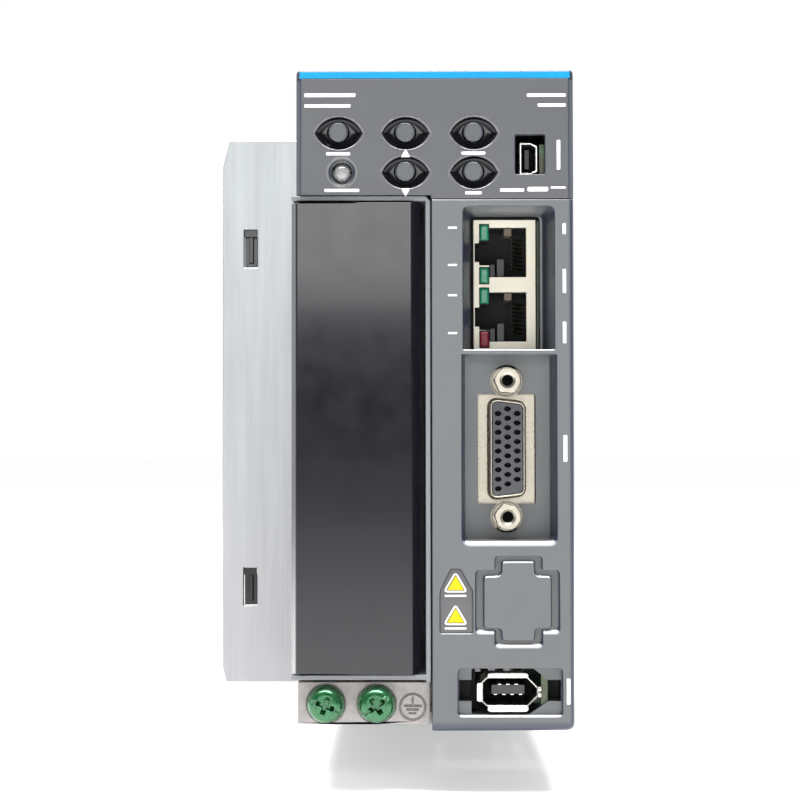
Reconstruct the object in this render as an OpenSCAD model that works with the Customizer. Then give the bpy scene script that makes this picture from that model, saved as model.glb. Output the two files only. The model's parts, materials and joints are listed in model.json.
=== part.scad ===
// Servo drive for panel mounting: finned rear heat sink with a side flange, moulded case,
// hinged power-terminal cover, operator panel with five keys, network, I/O, encoder and
// service connectors, internal boards and a cooling fan.
// Millimetres. X to the right, Z up, the front faces -Y. The origin is the middle of the
// case width and height on the rear mounting face.

/* [Case] */
// Width of the case
case_w = 67; // [66:0.5:72]
// Height of the case front
case_h = 159; // [159:0.5:166]
// Rear mounting face to the front panel
depth = 150; // [150:1:170]
// Wall thickness of the moulded case
wall = 2.2; // [1.8:0.1:2.6]
// Thickness of the front panels
face_t = 2.5; // [2.2:0.1:2.8]

/* [Flange and heat sink] */
// How far the flange stands out to the left of the case
flange_out = 32.2; // [24:0.1:36]
// How far the flange stands above the case
flange_up = 7.5; // [3:0.5:8]
// How far the flange stands below the case
flange_down = 5.5; // [3:0.5:8]
// How far the screw tabs stand above and below the case
tab_out = 15; // [13:0.5:18]
// Thickness of the mounting plate
plate_t = 3; // [2:0.5:3]
// Number of cooling fins
fin_n = 12; // [8:1:13]
// Fin thickness
fin_t = 1.6; // [1.2:0.1:2]
// Radius of a mounting screw hole
mount_r = 2.75; // [2.2:0.05:3]

/* [Terminal cover] */
// Width of the flat front of the cover
cover_w = 29; // [28:0.1:29.2]
// Thickness of the cover shell
cover_t = 1.8; // [1.4:0.1:2]
// Radius of the cover hinge pins
pin_r = 1.2; // [1:0.05:1.3]

/* [Operator panel] */
// Radius of a key cap
key_r = 2.35; // [2:0.05:2.5]
// Key travel
key_travel = 0.5; // [0.3:0.05:0.6]
// Radius of the charge lamp
lamp_r = 2.4; // [2:0.05:2.6]
// Height of the coloured strip along the top
strip_h = 2; // [1.2:0.1:2.2]
// Width of the bevel down both outer edges of the front
bevel_x = 1.2; // [0.5:0.1:1.3]
// Depth of that bevel
bevel_y = 2.4; // [1.6:0.1:3]

/* [Connectors] */
// Depth of the connector recess
recess_d = 12; // [11:0.5:13]
// Half the distance between the jackscrews of the I/O connector
jack_half = 16.66; // [16.4:0.02:16.8]
// Vertical contact pitch of the I/O connector
io_pitch = 2.29; // [2.2:0.01:2.3]
// Number of screw terminals
term_n = 11; // [9:1:12]

/* [Output] */
// Sub-part to draw, or all of them

/* [Hidden] */
$fn = 64;
e = 0.02;
hw = case_w/2;
hh = case_h/2;
yf = -depth;
split_z = 48.3;
seam = 0.12;
body_f = yf + 14;
hs_base_f = -50;
hs_base_r = -45;
pcb_t = 1.6;
flange_l = -hw - flange_out;
bez_l = -hw - 1.1;
bez_r = -1.1;
bez_t = 49.1;
bez_b = -67.8;
bez_wall = 1.2;
bez_rear = yf + 32;
cov_l = -hw - 1.1;
cov_top = 47.4;
cov_bot = -65.9;
hinge_x = cov_l + 2.1;
hinge_y = yf + 25;
hinge_r = 1.9;
pin_len = 1.1;
pin_gap = 0.06;
key_col = [-23.3, -7.15, 9.3];
key_row = [64.5, 55];
key_pos = [[key_col[0], key_row[0]], [key_col[1], key_row[0]], [key_col[2], key_row[0]],
  [key_col[1], key_row[1]], [key_col[2], key_row[1]]];
lens_dx = 0.15;
lens_dz = -0.3;
lens_a = 6.1;
lens_b = 4.1;
lens_r = (lens_a*lens_a + lens_b*lens_b)/(2*lens_b);
lens_d = 1.3;
lamp_x = -22.4;
lamp_z = 54.75;
board_x = 25.35;
board_y = yf + 16;
board_back = -62;
board_b = -76.5;
board_top = 61.9;
usb_x = 22.7;
usb_z = 58.25;
io_x = 17.75;
io_z = -11.85;
io_bore_r = 1.4;
hex_r = 3.4;
jk_x0 = 9.6;
jk_x1 = 24.9;
jk_z0 = 12.3;
jk_z1 = 44.5;
jk_y = yf + recess_d - 1.2;
lug_y = jk_y + 3;
port_c = [36.5, 20.55];
port_x0 = 11;
port_x1 = 13.5;
port_x2 = 22.6;
port_half = 6.1;
plug_d = 12;
enc_x = 18;
enc_z = -70.2;
panel_l = bez_r + 0.15;
well_l = 4.9;
well_r = 30.6;
well_split = 11.4;
well_b = -36.8;
well_floor = 1.6;
net_mouth = [6.5, 11.7, 29.0, 47.0];
net_floor = [9.2, 12.1, 26.6, 45.6];
io_mouth = [6.2, -35.2, 29.4, 11.1];
io_floor = [7.5, -34.5, 28.3, 10.7];
foot_l = -33.2;
foot_r = -1.2;
foot_t = -67.95;
foot_b = -78.1;
foot_f = yf + 3.5;
gscrew = [[-26.4, -73.2], [-14.2, -73.2]];
earth = [-5.5, -73.9];
washer_t = 2.1;
term_x = -17.5;
term_pitch = 9;
fan_z = 66.9;
fan_y = -25;
fan_s = 40;
clip_x = flange_l + 8.9;
clip_z = [52.5, -54.8];
clip_slot = [4.3, 12.1];
mount_x = [-15, 15];
mount_up = 9.5;
case_screw_xz = [[-29, 70], [29, 70], [-29, -70], [29, -70]];

// Box between two corners.
module bx(a, b) {
  translate(a)
    cube([b[0] - a[0], b[1] - a[1], b[2] - a[2]]);
}

// Cylinder along Y from y0 to y1.
module cy(x, z, r, y0, y1) {
  translate([x, y1, z])
    rotate([90, 0, 0])
      cylinder(r = r, h = y1 - y0);
}

// Rounded bar in the XZ plane from y0 to y1.
module rbox(x0, z0, x1, z1, r, y0, y1) {
  bx([x0 + r, y0, z0], [x1 - r, y1, z1]);
  bx([x0, y0, z0 + r], [x1, y1, z1 - r]);
  for (x = [x0 + r, x1 - r], z = [z0 + r, z1 - r])
    cy(x, z, r, y0, y1);
}

// Prism along Y from an outline given as [x, z] points.
module prism(pts, y0, y1) {
  translate([0, y1, 0])
    rotate([90, 0, 0])
      linear_extrude(height = y1 - y0)
        polygon(pts);
}

// Prism along Z from an outline given as [x, y] points.
module zprism(pts, z0, z1) {
  translate([0, 0, z0])
    linear_extrude(height = z1 - z0)
      polygon(pts);
}

// Eye-shaped pocket round a key.
module lens(x, z, y0, y1) {
  intersection() {
    cy(x, z + lens_r - lens_b, lens_r, y0, y1);
    cy(x, z - lens_r + lens_b, lens_r, y0, y1);
  }
}

// Pan-head screw facing -Y: head of radius hr and height hh1, shank behind it.
module pan_screw(x, z, y, hr, hh1, sr, len) {
  difference() {
    union() {
      cy(x, z, hr*0.82, y - hh1, y);
      cy(x, z, hr, y - hh1*0.62, y);
    }
    bx([x - hr*0.62, y - hh1 - e, z - hr*0.1], [x + hr*0.62, y - hh1*0.4, z + hr*0.1]);
    bx([x - hr*0.1, y - hh1 - e, z - hr*0.62], [x + hr*0.1, y - hh1*0.4, z + hr*0.62]);
  }
  cy(x, z, sr, y, y + len);
}

// Countersunk screw driven from the rear face, pointing to -Y.
module rear_screw(x, z, y, hr, sr, len) {
  difference() {
    translate([x, y, z])
      rotate([90, 0, 0])
        cylinder(r1 = hr, r2 = sr, h = hr - sr);
    bx([x - hr*0.6, y - 0.7, z - 0.3], [x + hr*0.6, y + e, z + 0.3]);
    bx([x - 0.3, y - 0.7, z - hr*0.6], [x + 0.3, y + e, z + hr*0.6]);
  }
  cy(x, z, sr, y - len, y - hr + sr);
}

// Flat aluminium mounting plate: side flange with clip slots, upper and lower screw tabs.
module mounting_plate() color("#c9cdd0") {
  top = hh + flange_up;
  bottom = -hh - flange_down;
  tab = hh + tab_out;
  tab_l = -hw + 1.5;
  cut = 2;
  difference() {
    prism([[flange_l + 2.2, top], [tab_l, top], [tab_l, tab - cut], [tab_l + cut, tab],
      [hw - cut, tab], [hw, tab - cut], [hw, cut - tab], [hw - cut, -tab], [tab_l + cut, -tab],
      [tab_l, cut - tab], [tab_l, bottom], [flange_l + 1.2, bottom], [flange_l, bottom + 5],
      [flange_l, top - 8.6]], -plate_t, 0);
    for (z = clip_z)
      bx([clip_x - clip_slot[0]/2, -plate_t - e, z - clip_slot[1]/2],
        [clip_x + clip_slot[0]/2, e, z + clip_slot[1]/2]);
    for (x = mount_x, s = [-1, 1])
      cy(x, s*(hh + mount_up), mount_r, -plate_t - e, e);
    for (p = concat(case_screw_xz, plate_screw_xz())) {
      translate([p[0], 0, p[1]])
        rotate([90, 0, 0])
          cylinder(r1 = 3.2, r2 = 1.62, h = 1.58);
      cy(p[0], p[1], 1.62, -plate_t - e, e);
    }
  }
}

function plate_screw_xz() = [[0, 50], [0, -50]];

// Dark plastic clips that snap into the two flange slots.
module flange_clips() color("#3a3b3f") {
  x0 = clip_x - 2;
  x1 = clip_x + 2;
  for (z = clip_z) {
    bx([x0, -1, z - 5.9], [x1, -0.2, z + 5.9]);
    bx([x0 + 1.5, -plate_t + 0.4, z - 4.6], [x0 + 2.7, -1, z + 3.6]);
    bx([x0, -plate_t + 0.2, z + 3.6], [x1, -1, z + 5.9]);
  }
}

// Finned aluminium heat sink: base towards the electronics, fins towards the mounting plate.
module heat_sink() color("#b4b8bb") {
  x0 = -28;
  x1 = 28;
  z0 = -58;
  z1 = 60;
  step = (x1 - x0 - fin_t)/(fin_n - 1);
  difference() {
    union() {
      bx([x0, hs_base_f, z0], [x1, hs_base_r, z1]);
      for (i = [0:fin_n - 1])
        bx([x0 + i*step, hs_base_r, z0], [x0 + i*step + fin_t, -plate_t - 0.8, z1]);
      for (p = plate_screw_xz())
        cy(p[0], p[1], 4, hs_base_r - e, -plate_t);
    }
    for (p = plate_screw_xz())
      cy(p[0], p[1], 1.5, -14, -plate_t + e);
    for (p = module_screw_xz())
      cy(p[0], p[1], 1.5, hs_base_f - e, hs_base_f + 4);
    cy(-17, z0 + 5, 1.5, hs_base_f - e, hs_base_f + 4);
  }
}

function module_screw_xz() = [[-12, 26], [22, 26]];

// Screws that hold the heat sink to the mounting plate.
module plate_screws() color("#9a9c9e") {
  for (p = plate_screw_xz())
    rear_screw(p[0], p[1], -0.1, 3, 1.5, 10);
}

// Moulded sleeve of the case with vents above and below the fins and side louvres.
module case_shell() color("#3c3d41") {
  r = -plate_t;
  difference() {
    union() {
      difference() {
        bx([-hw, body_f, -hh], [hw, r, hh]);
        bx([-hw + wall, body_f - e, -hh + wall], [hw - wall, r + e, hh - wall]);
      }
      for (p = case_screw_xz) {
        sx = sign(p[0]);
        sz = sign(p[1]);
        cy(p[0], p[1], 3, -22, r);
        bx([p[0] - (sx < 0 ? 3 : 0), -22, p[1] - 1.5], [p[0] + (sx > 0 ? 3 : 0), r, p[1] + 1.5]);
        bx([p[0] - 1.5, -22, sz > 0 ? p[1] : -hh + 1], [p[0] + 1.5, r, sz > 0 ? hh - 1 : p[1]]);
        bx([sx > 0 ? p[0] : -hw + 1, -22, p[1] - 1.5], [sx > 0 ? hw - 1 : p[0], r, p[1] + 1.5]);
      }
    }
    for (p = case_screw_xz)
      cy(p[0], p[1], 1.5, -16, r + e);
    // open front-left bay for the terminal bezel, its board and the ground foot
    bx([-hw - e, body_f - e, -hh - e], [0.5, bez_rear + 3, split_z + 1.2]);
    // fan outlet and fin inlet
    for (i = [-4:4])
      bx([i*4.3 - 1.2, fan_y - 17, hh - wall - e], [i*4.3 + 1.2, fan_y + 17, hh + e]);
    for (i = [-5:5])
      bx([i*4.6 - 1.3, -42, -hh - e], [i*4.6 + 1.3, -8, -hh + wall + e]);
    // vents over the boards
    for (i = [-5:5])
      bx([i*4.6 - 1.3, -112, hh - wall - e], [i*4.6 + 1.3, -64, hh + e]);
    for (i = [-5:5])
      bx([i*4.6 - 1.3, -112, -hh - e], [i*4.6 + 1.3, -64, -hh + wall + e]);
    // louvres in the right side
    for (i = [0:9])
      bx([hw - wall - e, -104, -60 + i*12], [hw + e, -62, -57.4 + i*12]);
  }
}

// Screws through the plate into the case bosses.
module case_screws() color("#9a9c9e") {
  for (p = case_screw_xz)
    rear_screw(p[0], p[1], -0.1, 3, 1.5, 12);
}

// Cast aluminium foot with the protective-earth seats and the leg that runs to the heat sink.
module ground_foot() color("#a8a3a2") {
  difference() {
    union() {
      bx([foot_l, foot_f, foot_b], [foot_r, bez_rear + 2.4, foot_t]);
      bx([foot_l + 3, bez_rear + 2.4 - e, foot_t - 6], [foot_r - 3, hs_base_f, foot_t - 3]);
      bx([-24, hs_base_f - 3, foot_t - 6], [-10, hs_base_f, -48]);
    }
    for (p = gscrew) {
      cy(p[0], p[1], 2, foot_f - e, foot_f + 12);
      cy(p[0], p[1], 4.65, foot_f - e, foot_f + 0.4);
    }
    cy(-17, -53, 1.7, hs_base_f - 4, hs_base_f + e);
    // engraved earth mark
    difference() {
      cy(earth[0], earth[1], 3.25, foot_f - e, foot_f + 0.3);
      cy(earth[0], earth[1], 2.95, foot_f - 2*e, foot_f + 0.4);
    }
    bx([earth[0] - 0.15, foot_f - e, earth[1] + 0.4], [earth[0] + 0.15, foot_f + 0.3, earth[1] + 2.3]);
    for (i = [0:2])
      bx([earth[0] - 2 + 0.6*i, foot_f - e, earth[1] + 0.1 - 0.9*i],
        [earth[0] + 2 - 0.6*i, foot_f + 0.3, earth[1] + 0.4 - 0.9*i]);
  }
}

// Green protective-earth screws.
module ground_screws() color("#1f6b4a") {
  for (p = gscrew)
    pan_screw(p[0], p[1], foot_f - washer_t, 4.2, 3.1, 1.95, 10);
}

// Green washers under the earth screws.
module ground_washers() color("#1f6b4a") {
  for (p = gscrew)
    difference() {
      union() {
        cy(p[0], p[1], 4.5, foot_f - 0.9, foot_f + 0.4);
        cy(p[0], p[1], 3.6, foot_f - washer_t, foot_f - 0.9);
      }
      cy(p[0], p[1], 2.1, foot_f - washer_t - 1, foot_f + 0.5);
    }
}

// Screw that bonds the leg of the foot to the heat sink.
module foot_screw() color("#9a9c9e") {
  pan_screw(-17, -53, hs_base_f - 3, 2.8, 1.8, 1.5, 6.5);
}

// Open frame round the terminal bay: top, right and bottom walls and the rear wall.
module terminal_bezel() color("#77797d") {
  y0 = yf + 0.4;
  difference() {
    union() {
      bx([bez_l, y0, bez_t - bez_wall], [bez_r - 1.2, bez_rear, bez_t]);
      prism([[bez_r - bez_wall, bez_b], [bez_r, bez_b], [bez_r, bez_t - 1.2], [bez_r - 1.2, bez_t],
        [bez_r - bez_wall, bez_t]], y0, bez_rear);
      bx([bez_l, y0, bez_b + 0.6], [bez_r, bez_rear, bez_b + 1.8]);
      bx([bez_l, bez_rear - 2, bez_b + 0.6], [bez_r - 1.2, bez_rear, bez_t]);
      bx([hinge_x - 2.1, hinge_y - 3, cov_top + 0.2], [hinge_x + 4, hinge_y + 4, bez_t]);
      bx([hinge_x - 2.1, hinge_y - 3, bez_b + 0.6], [hinge_x + 4, hinge_y + 4, cov_bot - 0.2]);
    }
    translate([hinge_x, hinge_y, cov_top - 1])
      cylinder(r = pin_r + pin_gap, h = 4);
    translate([hinge_x, hinge_y, cov_bot - 3])
      cylinder(r = pin_r + pin_gap, h = 4);
    for (i = [0:term_n - 1])
      cy(term_x, term_z(i), 3, bez_rear - 2 - e, bez_rear + e);
  }
}

function term_z(i) = (bez_t + bez_b)/2 + (i - (term_n - 1)/2)*term_pitch;

// Glossy cover over the power terminals, hinged on its left rear edge.
module terminal_cover() color("#17181b") {
  x0 = cov_l;
  x1 = cov_l + cover_w;
  z0 = cov_bot;
  z1 = cov_top;
  y0 = yf - 0.6;
  zprism([[x0 + 1.3, y0], [x1, y0], [x1 + 1.9, y0 + 2.8], [x1 + 1.9, y0 + 8], [x1 + 0.5, y0 + 8],
    [x1 + 0.5, y0 + 3.6], [x1 - 0.7, y0 + cover_t], [x0 + 2.1, y0 + cover_t],
    [x0 + cover_t, y0 + 3.2], [x0 + cover_t, hinge_y], [x0, hinge_y], [x0, y0 + 2.6]], z0, z1);
  bx([x0 + cover_t - e, y0 + cover_t + 1.4, z1 - 1.4], [x1 + 0.6, y0 + 8, z1]);
  bx([x0 + 2.1, y0 + cover_t - e, z1 - 1.4], [x1 - 0.7, y0 + cover_t + 1.5, z1]);
  bx([x0 + cover_t - e, y0 + cover_t + 1.4, z0], [x1 + 0.6, y0 + 8, z0 + 1.4]);
  bx([x0 + 2.1, y0 + cover_t - e, z0], [x1 - 0.7, y0 + cover_t + 1.5, z0 + 1.4]);
  translate([hinge_x, hinge_y, z0])
    cylinder(r = hinge_r, h = z1 - z0);
  translate([hinge_x, hinge_y, z0 - pin_len])
    cylinder(r = pin_r, h = z1 - z0 + 2*pin_len);
}

// Row of clamp terminals in the bay.
module terminal_block() color("#4b4d50") {
  z0 = term_z(0) - term_pitch/2;
  z1 = term_z(term_n - 1) + term_pitch/2;
  f = bez_rear - 19;
  difference() {
    bx([term_x - 9.5, f, z0], [term_x + 9.5, bez_rear - 2, z1]);
    for (i = [0:term_n - 1]) {
      bx([term_x - 9.5 - e, f - e, term_z(i) - 3.4], [term_x + 1.5, f + 9, term_z(i) + 3.4]);
      cy(term_x + 5, term_z(i), 3, f - e, f + 9);
    }
  }
}

// Plated wire clamps of the terminals.
module terminal_clamps() color("#c3c6c4") {
  f = bez_rear - 10;
  for (i = [0:term_n - 1])
    difference() {
      bx([term_x - 8.5, f - 1.2, term_z(i) - 3.1], [term_x + 1.2, f, term_z(i) + 3.1]);
      cy(term_x - 3.6, term_z(i), 1.6, f - 2, f + 1);
    }
}

// Captive screws of the terminals.
module terminal_screws() color("#d0d2d0") {
  f = bez_rear - 10;
  for (i = [0:term_n - 1])
    difference() {
      union() {
        cy(term_x - 3.6, term_z(i), 2.7, f - 3.2, f - 1.2);
        cy(term_x - 3.6, term_z(i), 1.5, f - 1.2, f);
      }
      bx([term_x - 5.4, f - 3.2 - e, term_z(i) - 0.35], [term_x - 1.8, f - 2.2, term_z(i) + 0.35]);
    }
}

// Board behind the terminal block.
module terminal_board() color("#1f5c3a") {
  bx([-31, bez_rear + 0.6, -64], [-4, bez_rear + 0.6 + pcb_t, 44]);
}

// Copper posts between the terminal board and the power board.
module board_posts() color("#b5763c") {
  for (i = [0:8])
    cy(i % 2 == 0 ? -26 : -21, -56 + i*12, 1.4, bez_rear + 0.6 + pcb_t, hs_base_f - 8.4);
}

// Drafted pocket from the front outline to the floor outline.
module pocket(a, b, d) {
  hull() {
    bx([a[0], yf - 0.5, a[1]], [a[2], yf, a[3]]);
    bx([b[0], yf + d - 0.01, b[1]], [b[2], yf + d, b[3]]);
  }
}

// Side wall of the front housing with its steep outer bevel, on the right of x1.
module side_wall(x1, z0, z1) {
  zprism([[x1 - wall - e, yf], [x1 - bevel_x, yf], [x1, yf + bevel_y], [x1, body_f],
    [x1 - wall, body_f], [x1 - wall, yf + face_t], [x1 - wall - e, yf + face_t]], z0, z1);
}

// Pockets that narrow from the front face to the sockets, cut in the panel and its wells.
module socket_pockets() {
  pocket(net_mouth, net_floor, recess_d);
  pocket(io_mouth, io_floor, recess_d);
  rbox(enc_x - 12.9, enc_z - 5.7, enc_x + 12.6, enc_z + 6.1, 0.9, yf - e, yf + 1.6);
  rbox(enc_x - 9.4, enc_z - 5.3, enc_x + 9.2, enc_z + 5.6, 0.9, yf - e, yf + 9);
  rbox(enc_x - 12.6, enc_z - 2.2, enc_x + 12.3, enc_z + 2.9, 0.5, yf + 1, yf + 9);
}

// Lower right front panel with its connector openings, sign recess and blank knock-out.
module front_panel() color("#84868a") {
  x0 = panel_l;
  x1 = hw;
  z1 = split_z - seam/2;
  difference() {
    union() {
      intersection() {
        prism([[x0, z1], [x1, z1], [x1, -hh + 2], [x1 - 2, -hh], [x0 + 0.8, -hh], [x0, -hh + 0.8]],
          yf, body_f);
        union() {
          bx([x0, yf, -hh], [x1 - wall, yf + face_t, z1]);
          side_wall(x1, -hh, z1);
          bx([x0, yf + face_t - e, -hh], [x1 - e, body_f, -hh + wall]);
        }
      }
      bx([x0, yf + face_t - e, -hh + 1], [x0 + 1.4, body_f, z1]);
    }
    socket_pockets();
    // sign recess
    sign_outline(0, yf - e, yf + 0.8);
    // moat round the blank knock-out
    difference() {
      union() {
        rbox(14.0, -59.8, 25.7, -37.2, 1, yf - e, yf + 1.3);
        rbox(9.5, -56.5, 29.9, -40.6, 1, yf - e, yf + 1.3);
      }
      union() {
        rbox(15.9, -57.8, 23.8, -38.9, 0.8, yf - 1, yf + 2);
        rbox(11.6, -54.9, 27.8, -42.4, 0.8, yf - 1, yf + 2);
      }
    }
  }
}

// House-shaped recess for the signs, drawn in by g.
module sign_outline(g, y0, y1) {
  prism([[1 + g, -56.1 + g], [9 - g, -56.1 + g], [9 - g, -46], [6 - g/2, -40.6 - g], [3.6 + g/2, -40.6 - g],
    [1 + g, -46]], y0, y1);
}

// Well behind the panel round the network jack.
module network_well() color("#84868a") {
  difference() {
    bx([well_l, yf + face_t, well_split], [well_r, yf + recess_d + well_floor, split_z - seam/2]);
    socket_pockets();
    bx([jk_x0 - 0.5, yf + recess_d - 1, jk_z0 - 0.25], [jk_x1 + 1.2, yf + recess_d + 3, jk_z1 + 0.7]);
  }
}

// Well behind the panel round the I/O connector.
module io_well() color("#84868a") {
  difference() {
    bx([well_l, yf + face_t, well_b], [well_r, yf + recess_d + well_floor, well_split]);
    socket_pockets();
    bx([io_x - 7.1, yf + recess_d - 1, io_z - 20.7], [io_x + 7.2, yf + recess_d + 3, io_z + 20.7]);
  }
}

// Well behind the panel round the encoder socket.
module encoder_well() color("#84868a") {
  difference() {
    rbox(4.4, enc_z - 6.8, 31.2, enc_z + 7, 1.2, yf + face_t, yf + 8);
    socket_pockets();
  }
}

// Operator panel across the top with key wells, lamp hole and service port opening.
module operator_panel() color("#6f7074") {
  x0 = -hw;
  x1 = hw;
  z0 = split_z + seam/2;
  z1 = hh - strip_h;
  difference() {
    union() {
      bx([x0 + wall - e, yf, z0], [x1 - wall + e, yf + face_t, z1 - 0.05]);
      side_wall(x1, z0, hh);
      mirror([1, 0, 0])
        side_wall(-x0, z0, hh);
      bx([x0 + wall, yf + face_t - e, hh - wall], [x1 - wall, body_f, hh]);
      bx([x0 + wall - e, yf + face_t - e, z0], [bez_r, yf + face_t + 1.2, z0 + 2.2]);
    }
    bx([x0 - 1, yf - 1, z1 - 0.05], [x1 + 1, yf + face_t, hh + 1]);
    for (s = [-1, 1])
      prism([[s*(hw - 1.1), hh + 0.1], [s*(hw + 0.1), hh + 0.1], [s*(hw + 0.1), hh - 1.2]],
        yf - 1, body_f + 1);
    // room for the rim of the terminal bay
    bx([x0 - 1, yf - 1, z0 - 1], [bez_r + 0.1, body_f + 1, bez_t + 0.1]);
    for (p = key_pos) {
      lens(p[0] + lens_dx, p[1] + lens_dz, yf - e, yf + lens_d);
      cy(p[0], p[1], key_r + 0.08, yf, yf + face_t + 1);
    }
    cy(lamp_x, lamp_z, lamp_r + 0.6, yf - e, yf + 1);
    cy(lamp_x, lamp_z, lamp_r + 0.05, yf, yf + face_t + 1);
    rbox(19.4, 54.2, 26.5, 63.9, 0.5, yf - e, yf + face_t + e);
  }
}

// Coloured strip along the top front edge.
module accent_strip() color("#14a6dd") {
  z0 = hh - strip_h;
  intersection() {
    prism([[-hw, z0], [hw, z0], [hw, hh - 1.1], [hw - 1.1, hh], [-hw + 1.1, hh], [-hw, hh - 1.1]],
      yf, yf + face_t);
    zprism([[-hw + bevel_x, yf], [hw - bevel_x, yf], [hw, yf + bevel_y], [hw, yf + face_t],
      [-hw, yf + face_t], [-hw, yf + bevel_y]], z0, hh);
  }
}

// Key: cap through the panel, collar behind it, plunger to the switch.
module key(i) color("#8b8c90") {
  x = key_pos[i][0];
  z = key_pos[i][1];
  cy(x, z, key_r - 0.25, yf + 0.15, yf + 0.4);
  cy(x, z, key_r, yf + 0.4, yf + face_t + 0.05);
  cy(x, z, key_r + 0.9, yf + face_t + 0.05, yf + face_t + 0.65);
  cy(x, z, 1.2, yf + face_t + 0.65, yf + face_t + 1.9);
}

module key_mode() {
  key(0);
}

module key_up() {
  key(1);
}

module key_shift() {
  key(2);
}

module key_down() {
  key(3);
}

module key_set() {
  key(4);
}

// Clear domed lamp showing that the bus is charged.
module charge_lamp() color("#a9a6a8") {
  translate([lamp_x, yf + 2.4, lamp_z])
    rotate([90, 0, 0])
      rotate_extrude()
        intersection() {
          translate([0, 0])
            circle(r = lamp_r);
          square([lamp_r + 1, lamp_r + 1]);
        }
  cy(lamp_x, lamp_z, lamp_r, yf + 2.4, yf + 4.9);
  cy(lamp_x, lamp_z, lamp_r + 0.5, yf + 4.9, yf + 5.9);
}

// Board behind the operator panel.
module panel_board() color("#1f5c3a") {
  difference() {
    bx([-30.5, yf + 8.2, 49.6], [23.8, yf + 8.2 + pcb_t, 76.6]);
    bx([19.4, yf + 8, 49], [25, yf + 11, 66.5]);
  }
}

// Switches under the keys and the lamp seat.
module key_switches() color("#2a2b2e") {
  for (p = key_pos) {
    bx([p[0] - 3, yf + 5.6, p[1] - 3], [p[0] + 3, yf + 8.2, p[1] + 3]);
    cy(p[0], p[1], 1.5, yf + face_t + 1.9 + key_travel + 0.1, yf + 5.6);
  }
  cy(lamp_x, lamp_z, 1.4, yf + 5.9, yf + 8.2);
}

// Outline of the small service port: straight on the left, narrower on the right.
module port_outline(g, y0, y1) {
  prism([[usb_x - 2.1 + g, usb_z - 3.85 + g], [usb_x + 0.5, usb_z - 3.85 + g],
    [usb_x + 2.1 - g, usb_z - 3.1 + g], [usb_x + 2.1 - g, usb_z + 3.1 - g],
    [usb_x + 0.5, usb_z + 3.85 - g], [usb_x - 2.1 + g, usb_z + 3.85 - g]], y0, y1);
}

// Metal shell of the service port.
module service_port_shell() color("#b9bbb8") {
  difference() {
    port_outline(0, yf + 2.2, yf + 11);
    port_outline(0.35, yf + 2.1, yf + 9.6);
  }
}

// Insulating tongue of the service port.
module service_port_tongue() color("#1d1d1f") {
  bx([usb_x - 0.9, yf + 3.6, usb_z - 2.4], [usb_x + 0.2, yf + 9.6, usb_z + 2.4]);
}

// Twin network jack moulding with two plug cavities.
module network_jack() color("#e6e0cf") {
  difference() {
    bx([jk_x0, jk_y, jk_z0], [jk_x1, yf + 25, jk_z1]);
    for (z = port_c) {
      bx([port_x1, jk_y - e, z - port_half], [port_x2, jk_y + plug_d, z + port_half]);
      bx([port_x0, jk_y - e, z - 3.2], [port_x1 + e, jk_y + plug_d, z + 3.2]);
      bx([jk_x0 + 0.3, jk_y - e, z - 2.35], [port_x0 + e, jk_y + 9, z + 2.35]);
    }
    for (z = lamp_zs())
      bx([port_x0, jk_y - e, z - 2.15], [port_x1 + e, jk_y + 2.5, z + 2.15]);
  }
}

function lamp_zs() = [41.4, 30.8, 25.75, 15];

// Spring contacts in the twin network jack.
module network_contacts() color("#c9a24a") {
  for (z = port_c, i = [0:7])
    translate([port_x2 - 3.6, jk_y + 4.5, z - 3.57 + i*1.02 - 0.2])
      rotate([0, 0, -35])
        bx([0, 0, 0], [0.35, 5.6, 0.4]);
}

// One lamp window in a corner of the jack.
module lamp_window(z) {
  bx([port_x0 + 0.03, jk_y - 0.15, z - 2.12], [port_x1, jk_y + 2.4, z + 2.12]);
}

// Green link lamps of the network jack.
module network_lamps_green() color("#2f8f5f") {
  for (i = [0:2])
    lamp_window(lamp_zs()[i]);
}

// Red error lamp of the network jack.
module network_lamp_red() color("#8a2438") {
  lamp_window(lamp_zs()[3]);
}

// Sheet shield round the rear of the network jack.
module network_shield() color("#c2c2bd") {
  difference() {
    bx([jk_x0 - 0.35, yf + recess_d + 2.4, jk_z0 - 0.35], [jk_x1 + 0.0, yf + 25.35, jk_z1 + 0.35]);
    bx([jk_x0, yf + recess_d, jk_z0], [jk_x1 + 1, yf + 25, jk_z1]);
  }
}

// D outline of the I/O connector: the left side is the longer one.
module d_outline(g, y0, y1) {
  prism([[io_x - 4.2 + g, io_z - 12.2 + g], [io_x + 4.2 - g, io_z - 11.2 + g],
    [io_x + 4.2 - g, io_z + 11.2 - g], [io_x - 4.2 + g, io_z + 12.2 - g]], y0, y1);
}

// Metal plate and D shell of the I/O connector.
module io_plate() color("#cdbfa6") {
  y = yf + recess_d;
  difference() {
    union() {
      bx([io_x - 7.2, y + 1.7, io_z - 19.6], [io_x + 7.0, y + 2.5, io_z + 19.6]);
      d_outline(0, y - 4.6, y + 2.5);
    }
    d_outline(0.45, y - 5, y + 3);
    for (s = [-1, 1])
      cy(io_x, io_z + s*jack_half, 1.65, y + 1.6, y + 2.6);
  }
}

// Positions of the 26 contacts in three staggered columns.
function io_holes() = concat(
  [for (i = [0:8]) [io_x - 2.33, io_z + (4 - i)*io_pitch - io_pitch/4]],
  [for (i = [0:8]) [io_x, io_z + (4 - i)*io_pitch + io_pitch/4]],
  [for (i = [0:7]) [io_x + 2.33, io_z + (3.5 - i)*io_pitch + io_pitch/4]]);

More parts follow.
